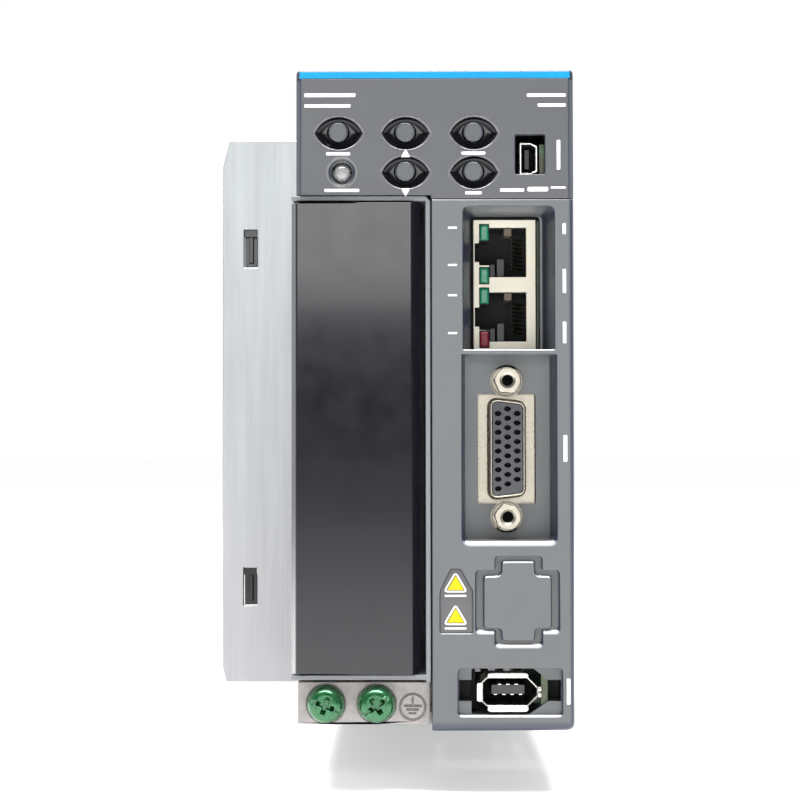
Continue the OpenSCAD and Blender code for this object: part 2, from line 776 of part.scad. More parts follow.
// Insulator of the I/O connector.
module io_insulator() color("#35363a") {
  y = yf + recess_d;
  difference() {
    union() {
      d_outline(0.5, y - 4.3, y + 2.5);
      bx([io_x - 5.2, y + 2.5, io_z - 13], [io_x + 7.2, y + 9, io_z + 13]);
    }
    for (p = io_holes())
      cy(p[0], p[1], 0.7, y - 5, y + 3);
  }
}

// Socket contacts in the I/O connector.
module io_contacts() color("#c9a24a") {
  y = yf + recess_d;
  for (p = io_holes())
    difference() {
      cy(p[0], p[1], 0.6, y - 1.5, y + 3);
      cy(p[0], p[1], 0.4, y - 2, y + 1);
    }
}

// Hexagonal jackscrews of the I/O connector.
module io_jackscrews() color("#c8c6c0") {
  y = yf + recess_d;
  for (s = [-1, 1])
    difference() {
      union() {
        translate([io_x, y + 1.7, io_z + s*jack_half])
          rotate([90, 0, 0])
            cylinder(r = hex_r, h = 6.9, $fn = 6);
        cy(io_x, io_z + s*jack_half, 1.6, y + 1.7, y + 6);
      }
      cy(io_x, io_z + s*jack_half, io_bore_r, y - 5.3, y + 1.2);
    }
}

// Outline of the encoder socket: flat on the left, pointed on the right.
module enc_outline(g, y0, y1) {
  prism([[enc_x - 8.2 + g, enc_z - 3 + g*0.6], [enc_x - 6.4 + g*0.6, enc_z - 4.75 + g],
    [enc_x + 4.5 - g*0.3, enc_z - 4.75 + g], [enc_x + 7.9 - g, enc_z - 1.4 + g*0.4],
    [enc_x + 7.9 - g, enc_z + 1.4 - g*0.4], [enc_x + 4.5 - g*0.3, enc_z + 4.75 - g],
    [enc_x - 6.4 + g*0.6, enc_z + 4.75 - g], [enc_x - 8.2 + g, enc_z + 3 - g*0.6]], y0, y1);
}

// Metal shell of the encoder socket with its flared lip.
module encoder_shell() color("#cfcfca") {
  difference() {
    union() {
      enc_outline(0, yf + 1.0, yf + 1.7);
      enc_outline(0.7, yf + 1.6, yf + 16);
    }
    enc_outline(1.2, yf + 0.5, yf + 15);
  }
}

// Contact tongue of the encoder socket.
module encoder_tongue() color("#1d1d1f") {
  bx([enc_x - 4.6, yf + 3, enc_z - 0.6], [enc_x + 3.4, yf + 15, enc_z + 1.6]);
}

// Contacts on the encoder tongue.
module encoder_contacts() color("#c9a24a") {
  for (i = [0:2])
    bx([enc_x - 3.6 + i*2.3, yf + 3.4, enc_z + 1.6], [enc_x - 2.8 + i*2.3, yf + 14, enc_z + 1.75]);
  for (i = [0:3])
    bx([enc_x - 4.3 + i*2, yf + 3.4, enc_z - 0.75], [enc_x - 3.5 + i*2, yf + 14, enc_z - 0.6]);
}

// Dark inlay in the sign recess.
module label_plate() color("#3a3b3d") {
  sign_outline(0.15, yf + 0.5, yf + 0.8);
}

// Two plain yellow triangles on the inlay.
module label_signs() color("#e6c81e") {
  for (z = [-46.3, -54.1])
    prism([[1.75, z], [7.85, z], [4.8, z + 5.2]], yf + 0.4, yf + 0.5);
}

// Control board, edge-on to the front along the right of the connectors.
module control_board() color("#1f5c3a") {
  x = board_x;
  difference() {
    translate([x, 0, 0])
      rotate([90, 0, 90])
        linear_extrude(height = pcb_t)
          polygon([[board_y, board_b], [board_y, enc_z - 5], [yf + 2.8, enc_z - 5], [yf + 2.8, enc_z + 5],
            [board_y, enc_z + 5], [board_y, jk_z0], [lug_y, jk_z0], [lug_y, jk_z1], [board_y, jk_z1],
            [board_y, 52.6], [yf + 3.2, 54.0], [yf + 3.2, board_top], [board_y, board_top],
            [board_back, board_top], [board_back, board_b]]);
  }
}

// Integrated circuits on the control board.
module control_chips() color("#26272a") {
  x = board_x;
  bx([x - 1.4, -104, -14], [x, -84, 6]);
  bx([x - 1.1, -80, 20], [x, -70, 32]);
  bx([x - 1.1, -106, 28], [x, -94, 36]);
  bx([x - 1.6, -100, -50], [x, -86, -40]);
  bx([x - 1.1, -78, -36], [x, -70, -24]);
}

// Plug headers between the boards.
module board_headers() color("#d9d5c6") {
  bx([board_x - 6, -72, 44], [board_x, -64, 60]);
  bx([board_x - 6, -72, -70], [board_x, -64, -46]);
  bx([-4, hs_base_f - 14.4, -66], [8, hs_base_f - 8.4, -60]);
}

// Power board in front of the heat sink.
module power_board() color("#1f5c3a") {
  difference() {
    bx([-29.5, hs_base_f - 8.4, -44], [23, hs_base_f - 6.8, 72]);
    for (p = module_screw_xz())
      cy(p[0], p[1], 3.4, hs_base_f - 9, hs_base_f - 6);
  }
}

// Bus capacitors standing on the power board.
module bus_capacitors() color("#25262b") {
  for (z = [-30, -4])
    cy(6, z, 11, hs_base_f - 48, hs_base_f - 8.4);
  cy(6, 56, 9, hs_base_f - 38, hs_base_f - 8.4);
}

// Power module between the power board and the heat sink.
module power_module() color("#2b2c30") {
  difference() {
    bx([-16, hs_base_f - 6.8, 12], [26, hs_base_f, 40]);
    for (p = module_screw_xz())
      cy(p[0], p[1], 1.7, hs_base_f - 7, hs_base_f + e);
  }
}

// Screws that clamp the power module to the heat sink.
module module_screws() color("#9a9c9e") {
  for (p = module_screw_xz())
    pan_screw(p[0], p[1], hs_base_f - 6.8, 2.8, 1.8, 1.5, 10.4);
}

// Inrush relay.
module charge_relay() color("#2f5f9a") {
  bx([-15, hs_base_f - 26, 60], [-5, hs_base_f - 8.4, 71]);
}

// Toroidal line choke.
module line_choke() color("#8a6a3a") {
  translate([-15, hs_base_f - 13.4, 30])
    rotate([90, 0, 0])
      difference() {
        cylinder(r = 4.4, h = 8, center = true);
        cylinder(r = 1.8, h = 9, center = true);
      }
}

// Transformer of the internal supply.
module supply_transformer() color("#3a3530") {
  bx([-5, hs_base_f - 26, 20], [15, hs_base_f - 10.4, 34]);
  bx([-3, hs_base_f - 10.4, 22], [13, hs_base_f - 8.4, 32]);
}

// Square fan frame with its motor seat and struts.
module fan_frame() color("#232427") {
  h = 10;
  s = fan_s/2;
  z0 = fan_z;
  difference() {
    bx([-s, fan_y - s, z0], [s, fan_y + s, z0 + h]);
    translate([0, fan_y, z0 - 1])
      cylinder(r = 18.9, h = h + 2);
    for (a = [-1, 1], b = [-1, 1])
      translate([a*16, fan_y + b*16, z0 - 1])
        cylinder(r = 1.75, h = h + 2);
  }
  translate([0, fan_y, z0 + h - 1.4])
    cylinder(r = 9.5, h = 1.4);
  for (a = [0:3])
    translate([0, fan_y, z0 + h - 1.4])
      rotate([0, 0, 45 + a*90])
        translate([9, -1, 0])
          cube([10.6, 2, 1.4]);
  translate([0, fan_y, z0 + 4])
    cylinder(r = 1, h = h - 4.5);
}

// Fan hub with seven blades.
module fan_rotor() color("#2e2f33") {
  z0 = fan_z;
  difference() {
    union() {
      translate([0, fan_y, z0 + 0.6])
        cylinder(r = 9, h = 7.6);
      intersection() {
        for (i = [0:6])
          translate([0, fan_y, z0 + 4.4])
            rotate([0, 0, i*360/7])
              translate([8, 0, 0])
                rotate([38, 0, 0])
                  translate([0, -4.6, -0.5])
                    cube([12, 9.2, 1]);
        translate([0, fan_y, z0 + 0.8])
          cylinder(r = 18.3, h = 7.2);
      }
    }
    translate([0, fan_y, z0 + 1.8])
      cylinder(r = 1.05, h = 7);
  }
}

// Screws that hold the fan under the case top.
module fan_screws() color("#9a9c9e") {
  for (a = [-1, 1], b = [-1, 1])
    translate([a*16, fan_y + b*16, fan_z - 1.6]) {
      cylinder(r = 2.8, h = 1.6);
      cylinder(r = 1.6, h = 11.6);
    }
}

mounting_plate();
flange_clips();
heat_sink();
plate_screws();
case_shell();
case_screws();
ground_foot();
ground_screws();
ground_washers();
foot_screw();
terminal_bezel();
terminal_cover();
terminal_block();
terminal_clamps();
terminal_screws();
terminal_board();
board_posts();
front_panel();
network_well();
io_well();
encoder_well();
operator_panel();
accent_strip();
key_mode();
key_up();
key_shift();
key_down();
key_set();
charge_lamp();
panel_board();
key_switches();
service_port_shell();
service_port_tongue();
network_jack();
network_contacts();
network_lamps_green();
network_lamp_red();
network_shield();
io_plate();
io_insulator();
io_contacts();
io_jackscrews();
encoder_shell();
encoder_tongue();
encoder_contacts();
label_plate();
label_signs();
control_board();
control_chips();
board_headers();
power_board();
bus_capacitors();
power_module();
module_screws();
charge_relay();
line_choke();
supply_transformer();
fan_frame();
fan_rotor();
fan_screws();
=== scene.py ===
"""Looks of the servo drive: soft edges and procedural materials on the CAD nodes, and finer meshes
for the keys, their wells, the lamp, the connector shells, the earth screws, the signs and the printed marks."""
import json
import math

import bmesh
import bpy
from mathutils import Matrix, Vector


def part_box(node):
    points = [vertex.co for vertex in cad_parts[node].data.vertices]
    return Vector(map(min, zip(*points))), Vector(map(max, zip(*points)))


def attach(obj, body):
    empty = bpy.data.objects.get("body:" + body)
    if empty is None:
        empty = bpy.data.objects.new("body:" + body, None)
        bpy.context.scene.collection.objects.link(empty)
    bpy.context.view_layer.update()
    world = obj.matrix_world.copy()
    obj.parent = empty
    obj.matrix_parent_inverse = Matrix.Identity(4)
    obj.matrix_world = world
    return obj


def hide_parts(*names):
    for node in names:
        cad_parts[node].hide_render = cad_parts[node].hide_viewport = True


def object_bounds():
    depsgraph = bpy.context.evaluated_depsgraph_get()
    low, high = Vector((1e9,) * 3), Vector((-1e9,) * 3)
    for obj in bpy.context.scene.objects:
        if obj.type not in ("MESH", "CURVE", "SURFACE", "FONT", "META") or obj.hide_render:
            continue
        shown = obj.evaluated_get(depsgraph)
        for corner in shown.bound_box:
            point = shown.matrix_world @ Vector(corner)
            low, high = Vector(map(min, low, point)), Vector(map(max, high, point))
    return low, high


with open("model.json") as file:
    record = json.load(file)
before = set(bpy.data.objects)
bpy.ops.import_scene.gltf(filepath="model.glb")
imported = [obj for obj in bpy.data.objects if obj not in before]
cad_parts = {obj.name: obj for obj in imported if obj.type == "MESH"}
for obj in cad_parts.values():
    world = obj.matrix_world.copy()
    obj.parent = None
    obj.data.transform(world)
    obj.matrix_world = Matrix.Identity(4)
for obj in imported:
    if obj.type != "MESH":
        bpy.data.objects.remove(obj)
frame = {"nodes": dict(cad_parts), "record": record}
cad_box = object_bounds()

MM = 0.001
NODES = frame["nodes"]


# ---------------------------------------------------------------- geometry helpers

def centre(node):
    low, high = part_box(node)
    return (low + high) / 2


def new_object(name, bm, smooth=True):
    """Turns a bmesh into an object with outward normals."""
    bmesh.ops.remove_doubles(bm, verts=bm.verts, dist=1e-7)
    bmesh.ops.recalc_face_normals(bm, faces=bm.faces)
    for face in bm.faces:
        face.smooth = smooth
    mesh = bpy.data.meshes.new(name)
    bm.to_mesh(mesh)
    bm.free()
    obj = bpy.data.objects.new(name, mesh)
    bpy.context.scene.collection.objects.link(obj)
    return obj


def add_loops(bm, loops, cap_start=False, cap_end=False):
    """Skins closed loops of equal length, given as lists of points in metres."""
    rows = [[bm.verts.new(p) for p in loop] for loop in loops]
    count = len(rows[0])
    for row, following in zip(rows, rows[1:]):
        for i in range(count):
            j = (i + 1) % count
            bm.faces.new((row[i], row[j], following[j], following[i]))
    if cap_start:
        bm.faces.new(rows[0])
    if cap_end:
        bm.faces.new(rows[-1])


def circle_loop(x, z, radius, y, count=48):
    turn = 2 * math.pi / count
    return [Vector((x + radius * math.cos(i * turn), y, z + radius * math.sin(i * turn))) for i in range(count)]


def lathe_y(bm, x, z, profile, count=48):
    """Solid of revolution about a line along Y. The profile is (radius, y) in metres, front to back."""
    loops = [circle_loop(x, z, max(radius, 2e-6), y, count) for radius, y in profile]
    add_loops(bm, loops, cap_start=True, cap_end=True)


def rounded(points, radii, steps=5):
    """Closed outline of (x, z) points with each corner rounded to its own radius."""
    out = []
    count = len(points)
    for i, (corner, radius) in enumerate(zip(points, radii)):
        p = Vector(corner)
        before = Vector(points[i - 1]) - p
        after = Vector(points[(i + 1) % count]) - p
        half = before.angle(after) / 2
        reach = min(radius / math.tan(half), before.length * 0.45, after.length * 0.45)
        a = p + before.normalized() * reach
        b = p + after.normalized() * reach
        for k in range(steps + 1):
            t = k / steps
            out.append(a.lerp(p, t).lerp(p.lerp(b, t), t))
    return out


def offset_outline(outline, distance):
    """Moves a counter-clockwise outline inwards by a distance, along each point's normal."""
    out = []
    count = len(outline)
    for i, p in enumerate(outline):
        along = (outline[(i + 1) % count] - outline[i - 1]).normalized()
        out.append(p + Vector((-along.y, along.x)) * distance)
    return out


def outline_loop(outline, y):
    return [Vector((p.x, y, p.y)) for p in outline]


def box_outline(low_x, low_z, high_x, high_z):
    return [(low_x, low_z), (high_x, low_z), (high_x, high_z), (low_x, high_z)]


def plate(bm, outline, front, back, edge=0.0, steps=3):
    """Flat plate facing -Y with a rounded front edge."""
    loops = []
    for k in range(steps + 1):
        a = math.radians(90 * k / steps)
        loops.append(outline_loop(offset_outline(outline, edge * (1 - math.sin(a))), front + edge * (1 - math.cos(a))))
    loops.append(outline_loop(outline, back))
    add_loops(bm, loops, cap_start=True, cap_end=True)


# ---------------------------------------------------------------- soft edges on CAD nodes

def weld_group():
    """Geometry node group that joins the split corners of a CAD mesh and shades it smooth."""
    tree = bpy.data.node_groups.new("weld_and_smooth", "GeometryNodeTree")
    tree.interface.new_socket("Geometry", in_out="INPUT", socket_type="NodeSocketGeometry")
    tree.interface.new_socket("Geometry", in_out="OUTPUT", socket_type="NodeSocketGeometry")
    start = tree.nodes.new("NodeGroupInput")
    forget = tree.nodes.new("GeometryNodeRemoveAttribute")
    forget.inputs["Name"].default_value = "custom_normal"
    merge = tree.nodes.new("GeometryNodeMergeByDistance")
    merge.inputs["Distance"].default_value = 2e-6
    edges = tree.nodes.new("GeometryNodeSetShadeSmooth")
    edges.domain = "EDGE"
    faces = tree.nodes.new("GeometryNodeSetShadeSmooth")
    faces.domain = "FACE"
    end = tree.nodes.new("NodeGroupOutput")
    chain = [start, forget, merge, edges, faces, end]
    for a, b in zip(chain, chain[1:]):
        tree.links.new(a.outputs[0], b.inputs[0])
    return tree


WELD = weld_group()


def soften(obj, width, segments=2, angle=32):
    """Rounds the sharp edges of an object. The width is in millimetres."""
    weld = obj.modifiers.new("weld", "NODES")
    weld.node_group = WELD
    flat = obj.modifiers.new("flat", "DECIMATE")
    flat.decimate_type = "DISSOLVE"
    flat.angle_limit = math.radians(0.2)
    bevel = obj.modifiers.new("bevel", "BEVEL")
    bevel.width = width * MM
    bevel.segments = segments
    bevel.limit_method = "ANGLE"
    bevel.angle_limit = math.radians(angle)
    bevel.loop_slide = False
    bevel.use_clamp_overlap = False
    bevel.face_strength_mode = "FSTR_ALL"
    normals = obj.modifiers.new("normals", "WEIGHTED_NORMAL")
    normals.keep_sharp = False
    normals.weight = 80
    normals.use_face_influence = True


# ---------------------------------------------------------------- material helpers

class Look:
    """A material being built: its shader, and textures laid out in millimetres."""

    def __init__(self, name, colour, roughness, metallic=0.0, **sockets):
        self.material = bpy.data.materials.new(name)
        self.material.use_nodes = True
        self.tree = self.material.node_tree
        self.shader = self.tree.nodes["Principled BSDF"]
        self.shader.inputs["Base Color"].default_value = (*colour, 1)
        self.shader.inputs["Roughness"].default_value = roughness
        self.shader.inputs["Metallic"].default_value = metallic
        for socket, value in sockets.items():
            self.shader.inputs[socket.replace("_", " ")].default_value = value
        self.colour = colour
        self.base = None
        self.normal = None

    def node(self, kind, **values):
        node = self.tree.nodes.new(kind)
        for key, value in values.items():
            setattr(node, key, value)
        return node

    def link(self, a, b):
        self.tree.links.new(a, b)

    def noise(self, size, detail=3.0, stretch=(1, 1, 1), roughness=0.5):
        """Noise whose features are about size millimetres across, stretched along an axis if asked."""
        coords = self.node("ShaderNodeTexCoord")
        mapping = self.node("ShaderNodeMapping")
        mapping.inputs["Scale"].default_value = [1 / (MM * size * s) for s in stretch]
        self.link(coords.outputs["Object"], mapping.inputs["Vector"])
        texture = self.node("ShaderNodeTexNoise")
        texture.inputs["Scale"].default_value = 1.0
        texture.inputs["Detail"].default_value = detail
        texture.inputs["Roughness"].default_value = roughness
        self.link(mapping.outputs["Vector"], texture.inputs["Vector"])
        return texture.outputs["Fac"]

    def spread(self, fac, low, high, from_low=0.3, from_high=0.7):
        """Maps a 0-1 value to a range."""
        node = self.node("ShaderNodeMapRange")
        node.inputs["From Min"].default_value = from_low
        node.inputs["From Max"].default_value = from_high
        node.inputs["To Min"].default_value = low
        node.inputs["To Max"].default_value = high
        self.link(fac, node.inputs["Value"])
        return node.outputs["Result"]

    def height(self, axis):
        """The object's own X, Y or Z in millimetres."""
        coords = self.node("ShaderNodeTexCoord")
        split = self.node("ShaderNodeSeparateXYZ")
        self.link(coords.outputs["Object"], split.inputs[0])
        scale = self.node("ShaderNodeMath", operation="MULTIPLY")
        scale.inputs[1].default_value = 1 / MM
        self.link(split.outputs[axis], scale.inputs[0])
        return scale.outputs[0]

    def highlight_lips(self, start, end):
        """Mask of a painted highlight: 1 where the surface turns upwards, fading out from one depth in millimetres to
        another.
        """
        geometry = self.node("ShaderNodeNewGeometry")
        split = self.node("ShaderNodeSeparateXYZ")
        self.link(geometry.outputs["Normal"], split.inputs[0])
        both = self.node("ShaderNodeMath", operation="MULTIPLY")
        self.link(self.spread(split.outputs["Z"], 0.0, 1.0, 0.12, 0.5), both.inputs[0])
        self.link(self.spread(self.height("Y"), 0.85, 0.0, start, end), both.inputs[1])
        return both.outputs[0]

    def facing(self, axis):
        """How squarely the surface faces along an axis, 0-1, from the surface normal."""
        geometry = self.node("ShaderNodeNewGeometry")
        split = self.node("ShaderNodeSeparateXYZ")
        self.link(geometry.outputs["True Normal"], split.inputs[0])
        size = self.node("ShaderNodeMath", operation="ABSOLUTE")
        self.link(split.outputs[axis], size.inputs[0])
        return size.outputs[0]

    def tint(self, fac, colour):
        """Mixes a colour over what the base is so far."""
        mix = self.node("ShaderNodeMix", data_type="RGBA")
        if self.base is None:
            mix.inputs["A"].default_value = (*self.colour, 1)
        else:
            self.link(self.base, mix.inputs["A"])
        mix.inputs["B"].default_value = (*colour, 1)
        self.link(fac, mix.inputs["Factor"])
        self.base = mix.outputs["Result"]
        return self

    def shine(self, fac, low, high):
        self.link(self.spread(fac, low, high), self.shader.inputs["Roughness"])
        return self

    def bump(self, fac, distance, strength=1.0):
        """Raises the surface by up to distance millimetres."""
        node = self.node("ShaderNodeBump")
        node.inputs["Strength"].default_value = strength
        node.inputs["Distance"].default_value = distance * MM
        self.link(fac, node.inputs["Height"])
        if self.normal is not None:
            self.link(self.normal, node.inputs["Normal"])
        self.normal = node.outputs["Normal"]
        return self

    def edges(self, colour, amount=0.5):
        """Rubbed edges: a tint where the surface turns outwards."""
        geometry = self.node("ShaderNodeNewGeometry")
        worn = self.node("ShaderNodeBevel")
        worn.samples = 3
        worn.inputs["Radius"].default_value = 0.22 * MM
        turn = self.node("ShaderNodeVectorMath")
        turn.operation = "DOT_PRODUCT"
        self.link(worn.outputs["Normal"], turn.inputs[0])
        self.link(geometry.outputs["Normal"], turn.inputs[1])
        return self.tint(self.spread(turn.outputs["Value"], amount, 0.0, 0.8, 0.985), colour)

    def done(self):
        if self.base is not None:
            self.link(self.base, self.shader.inputs["Base Color"])
        if self.normal is not None:
            self.link(self.normal, self.shader.inputs["Normal"])
        return self.material


def scaled(colour, k):
    return tuple(min(1.0, c * k) for c in colour)


def moulded(name, colour, roughness=0.5, grain=0.25, grain_height=0.012, sockets=None):
    """Moulded plastic: spark-eroded grain, faint flow marks, polish and rubbed edges."""
    look = Look(name, colour, roughness, **(sockets or {}))
    look.tint(look.spread(look.noise(14, 2), 0.0, 0.35), scaled(colour, 0.86))
    look.tint(look.spread(look.noise(0.5, 3), 0.0, 0.3), scaled(colour, 1.16))
    look.edges(scaled(colour, 1.7), 0.35)
    look.shine(look.noise(5, 4), roughness - 0.02, roughness + 0.03)
    look.bump(look.noise(grain, 2, roughness=0.6), grain_height)
    return look


def glossy(name, colour, roughness=0.15, sockets=None):
    """Polished plastic: a slightly uneven skin with fine hairline scratches and handling marks."""
    look = Look(name, colour, roughness, **(sockets or {}))
    look.tint(look.spread(look.noise(9, 3), 0.0, 0.4), scaled(colour, 1.25))
    look.shine(look.noise(6, 5), max(0.03, roughness - 0.02), roughness + 0.03)
    look.bump(look.noise(12, 2), 0.003, 0.5)
    look.bump(look.noise(0.4, 2, stretch=(1, 1, 18)), 0.001, 0.5)
    return look


def metal(name, colour, roughness=0.3, stretch=(1, 1, 1), grain=0.2, grain_height=0.004):
    """Plated, brushed or cast metal. Stretch sets the direction of the brushing."""
    look = Look(name, colour, roughness, metallic=1.0)
    look.tint(look.spread(look.noise(grain * 1.6, 4, stretch), 0.0, 0.4), scaled(colour, 0.8))
    look.tint(look.spread(look.noise(11, 3), 0.0, 0.25), scaled(colour, 0.82))
    look.edges(scaled(colour, 1.25), 0.5)
    look.shine(look.noise(grain * 2.5, 4, stretch), roughness - 0.07, roughness + 0.1)
    look.bump(look.noise(grain, 3, stretch), grain_height)
    return look


# ---------------------------------------------------------------- materials, one function per slot

# Navy of the painted dark reflections on side bevels and of the painted shade along the bottom edge.
PAINTED_EDGE_NAVY = (0.012, 0.018, 0.035)


def brushed_aluminium():
    look = metal("brushed_aluminium", (0.34, 0.36, 0.37), 0.45, stretch=(1, 1, 60), grain=0.22, grain_height=0.006)
    look.tint(look.spread(look.noise(1.1, 3, (1, 1, 40)), 0.0, 0.3), (0.34, 0.35, 0.36))
    look.tint(look.spread(look.noise(4, 3, (1, 1, 18)), 0.0, 0.3), (0.56, 0.58, 0.58))
    # Painted shade: darker towards the bottom.
    look.tint(look.spread(look.height("Z"), 0.75, 0.0, -80, 60), (0.30, 0.29, 0.30))
    look.shader.inputs["Metallic"].default_value = 0.7
    return look.done()


def extruded_aluminium():
    return metal("extruded_aluminium", (0.70, 0.71, 0.72), 0.4, stretch=(1, 1, 50), grain=0.35).done()


def cast_aluminium():
    look = metal("cast_aluminium", (0.29, 0.272, 0.264), 0.55, grain=0.55, grain_height=0.05)
    look.shader.inputs["Metallic"].default_value = 0.55
    look.tint(look.spread(look.noise(1.4, 5), 0.0, 0.5, 0.5, 0.75), (0.22, 0.20, 0.20))
    return look.done()


def zinc_steel():
    return metal("zinc_steel", (0.60, 0.61, 0.62), 0.32, grain=0.5).done()


def green_steel():
    look = Look("green_steel", (0.010, 0.105, 0.032), 0.22, metallic=0.6, Coat_Weight=0.5, Coat_Roughness=0.2)
    look.tint(look.spread(look.noise(0.8, 4), 0.0, 0.6), (0.004, 0.045, 0.014))
    look.edges((0.10, 0.34, 0.14), 0.7)
    look.shine(look.noise(0.6, 4), 0.2, 0.42)
    look.bump(look.noise(0.5, 3), 0.02, 0.7)
    return look.done()


def nickel_plate():
    look = metal("nickel_plate", (0.60, 0.58, 0.54), 0.24, grain=0.6, grain_height=0.003)
    look.shader.inputs["Metallic"].default_value = 0.65
    return look.done()


def io_nickel():
    look = metal("io_nickel", (0.45, 0.415, 0.345), 0.3, grain=0.5, grain_height=0.004)
    look.shader.inputs["Metallic"].default_value = 0.75
    return look.done()


def copper():
    return metal("copper", (0.71, 0.40, 0.22), 0.35, grain=0.4).done()


def gold_contact():
    # Painted shade: much darker than bare gold, so that the contacts deep in their openings look shaded.
    return metal("gold_contact", (0.34, 0.25, 0.11), 0.3, grain=0.15, grain_height=0.001).done()


def case_plastic():
    return moulded("case_plastic", (0.022, 0.024, 0.030), 0.5, grain=0.35, grain_height=0.02).done()


def bezel_plastic():
    return moulded("bezel_plastic", (0.14, 0.146, 0.152), 0.45, grain=0.3, grain_height=0.008).done()


def with_painted_edge_shade(look):
    """Painted dark reflection and shade: tints the sides and the bottom edge of the front housing navy, darker than its
    face.
    """
    # Painted dark reflection where the surface turns sideways; painted shade along the bottom edge; painted dark
    # reflection along the right and left bevels.
    look.tint(look.spread(look.facing("X"), 0.0, 1.0, 0.22, 0.5), PAINTED_EDGE_NAVY)
    look.tint(look.spread(look.height("Z"), 0.9, 0.0, -78.3, -76.9), PAINTED_EDGE_NAVY)
    look.tint(look.spread(look.height("X"), 0.0, 0.95, 32.0, 32.7), PAINTED_EDGE_NAVY)
    look.tint(look.spread(look.height("X"), 0.95, 0.0, -33.0, -32.1), PAINTED_EDGE_NAVY)
    return look.done()


def panel_plastic():
    look = moulded("panel_plastic", (0.086, 0.091, 0.096), 0.35, grain=0.3, grain_height=0.012)
    # Painted light: lighter deeper into the recesses, offsetting the shade that falls there.
    look.tint(look.spread(look.height("Y"), 0.0, 0.55, -148.5, -143), (0.21, 0.22, 0.225))
    # Painted shade: darker towards the bottom.
    look.tint(look.spread(look.height("Z"), 0.55, 0.0, -78, -5), (0.06, 0.063, 0.067))
    # Painted highlight on the lips that turn upwards near the face.
    look.tint(look.highlight_lips(-148.8, -148.3), (0.62, 0.63, 0.64))
    return with_painted_edge_shade(look)


def operator_plastic():
    return with_painted_edge_shade(moulded("operator_plastic", (0.062, 0.064, 0.069), 0.4, grain=0.4, grain_height=0.006))


def key_plastic():
    return moulded("key_plastic", (0.045, 0.049, 0.055), 0.26, grain=0.3, grain_height=0.002).done()


def dark_plastic():
    return moulded("dark_plastic", (0.016, 0.016, 0.018), 0.35, grain=0.3, grain_height=0.004).done()


def io_plastic():
    return moulded("io_plastic", (0.040, 0.041, 0.047), 0.4, grain=0.25, grain_height=0.02).done()


def terminal_plastic():
    return moulded("terminal_plastic", (0.05, 0.05, 0.056), 0.5, grain=0.3, grain_height=0.01).done()


def fan_plastic():
    return moulded("fan_plastic", (0.018, 0.018, 0.02), 0.45, grain=0.4, grain_height=0.01).done()


def cream_plastic():
    return moulded("cream_plastic", (0.68, 0.64, 0.53), 0.4, grain=0.3, grain_height=0.006,
                   sockets={"Subsurface_Weight": 0.15, "Subsurface_Scale": 0.001}).done()


def header_cream():
    return moulded("header_cream", (0.70, 0.67, 0.58), 0.45, grain=0.3, grain_height=0.006).done()


def cover_gloss():
    look = glossy("cover_gloss", (0.004, 0.004, 0.006), 0.14, sockets={"Specular_IOR_Level": 0.32, "Coat_Weight": 0.2, "Coat_Roughness": 0.06})
    # Painted dark reflection: the side bevels of the cover are tinted navy.
    look.tint(look.spread(look.facing("X"), 0.0, 1.0, 0.85, 0.97), PAINTED_EDGE_NAVY)
    return look.done()


def accent_blue():
    return glossy("accent_blue", (0.0, 0.19, 0.42), 0.35, sockets={"Specular_IOR_Level": 0.25}).done()


def lamp_clear():
    look = Look("lamp_clear", (0.80, 0.80, 0.80), 0.05, Transmission_Weight=0.75, IOR=1.49, Coat_Weight=1.0, Coat_Roughness=0.04)
    look.tint(look.spread(look.noise(1.5, 3), 0.0, 0.2), (0.62, 0.60, 0.62))
    look.shine(look.noise(1, 3), 0.03, 0.12)
    look.bump(look.noise(1.2, 2), 0.01, 0.5)
    return look.done()


def lamp_lens(name, colour):
    look = Look(name, colour, 0.18, Subsurface_Weight=0.1, Subsurface_Scale=0.0006, Specular_IOR_Level=0.3, Coat_Weight=0.3)
    look.tint(look.spread(look.noise(0.5, 3), 0.0, 0.5), scaled(colour, 0.35))
    look.shine(look.noise(0.5, 3), 0.1, 0.3)
    look.bump(look.noise(0.35, 2), 0.03, 0.8)
    return look.done()


def lamp_green():
    return lamp_lens("lamp_green", (0.004, 0.20, 0.10))


def lamp_red():
    return lamp_lens("lamp_red", (0.22, 0.008, 0.03))


def board_green():
    look = glossy("board_green", (0.010, 0.075, 0.034), 0.3)
    look.tint(look.spread(look.facing("X"), 1.0, 0.0, 0.4, 0.8), (0.045, 0.06, 0.024))
    look.tint(look.spread(look.noise(2.2, 1, (6, 1, 1)), 0.0, 0.5, 0.58, 0.6), (0.022, 0.13, 0.055))
    look.bump(look.noise(2.2, 1, (6, 1, 1)), 0.02, 0.4)
    return look.done()


def chip_black():
    return moulded("chip_black", (0.018, 0.018, 0.02), 0.6, grain=0.2, grain_height=0.02).done()


def capacitor_sleeve():
    return glossy("capacitor_sleeve", (0.014, 0.015, 0.025), 0.22).done()


def relay_blue():
    return glossy("relay_blue", (0.02, 0.07, 0.25), 0.3).done()


def choke_core():
    look = Look("choke_core", (0.35, 0.14, 0.05), 0.35, metallic=0.6)
    look.tint(look.spread(look.noise(0.7, 1, (1, 1, 12)), 0.0, 0.8, 0.45, 0.55), (0.10, 0.04, 0.02))
    look.shine(look.noise(1, 3), 0.25, 0.5)
    look.bump(look.noise(0.7, 1, (1, 1, 12)), 0.15)
    return look.done()


def transformer_tape():
    look = glossy("transformer_tape", (0.30, 0.20, 0.02), 0.3)
    look.bump(look.noise(1.2, 1, (8, 8, 1)), 0.05)
    return look.done()


def label_dark():
    return glossy("label_dark", (0.062, 0.060, 0.064), 0.38).done()


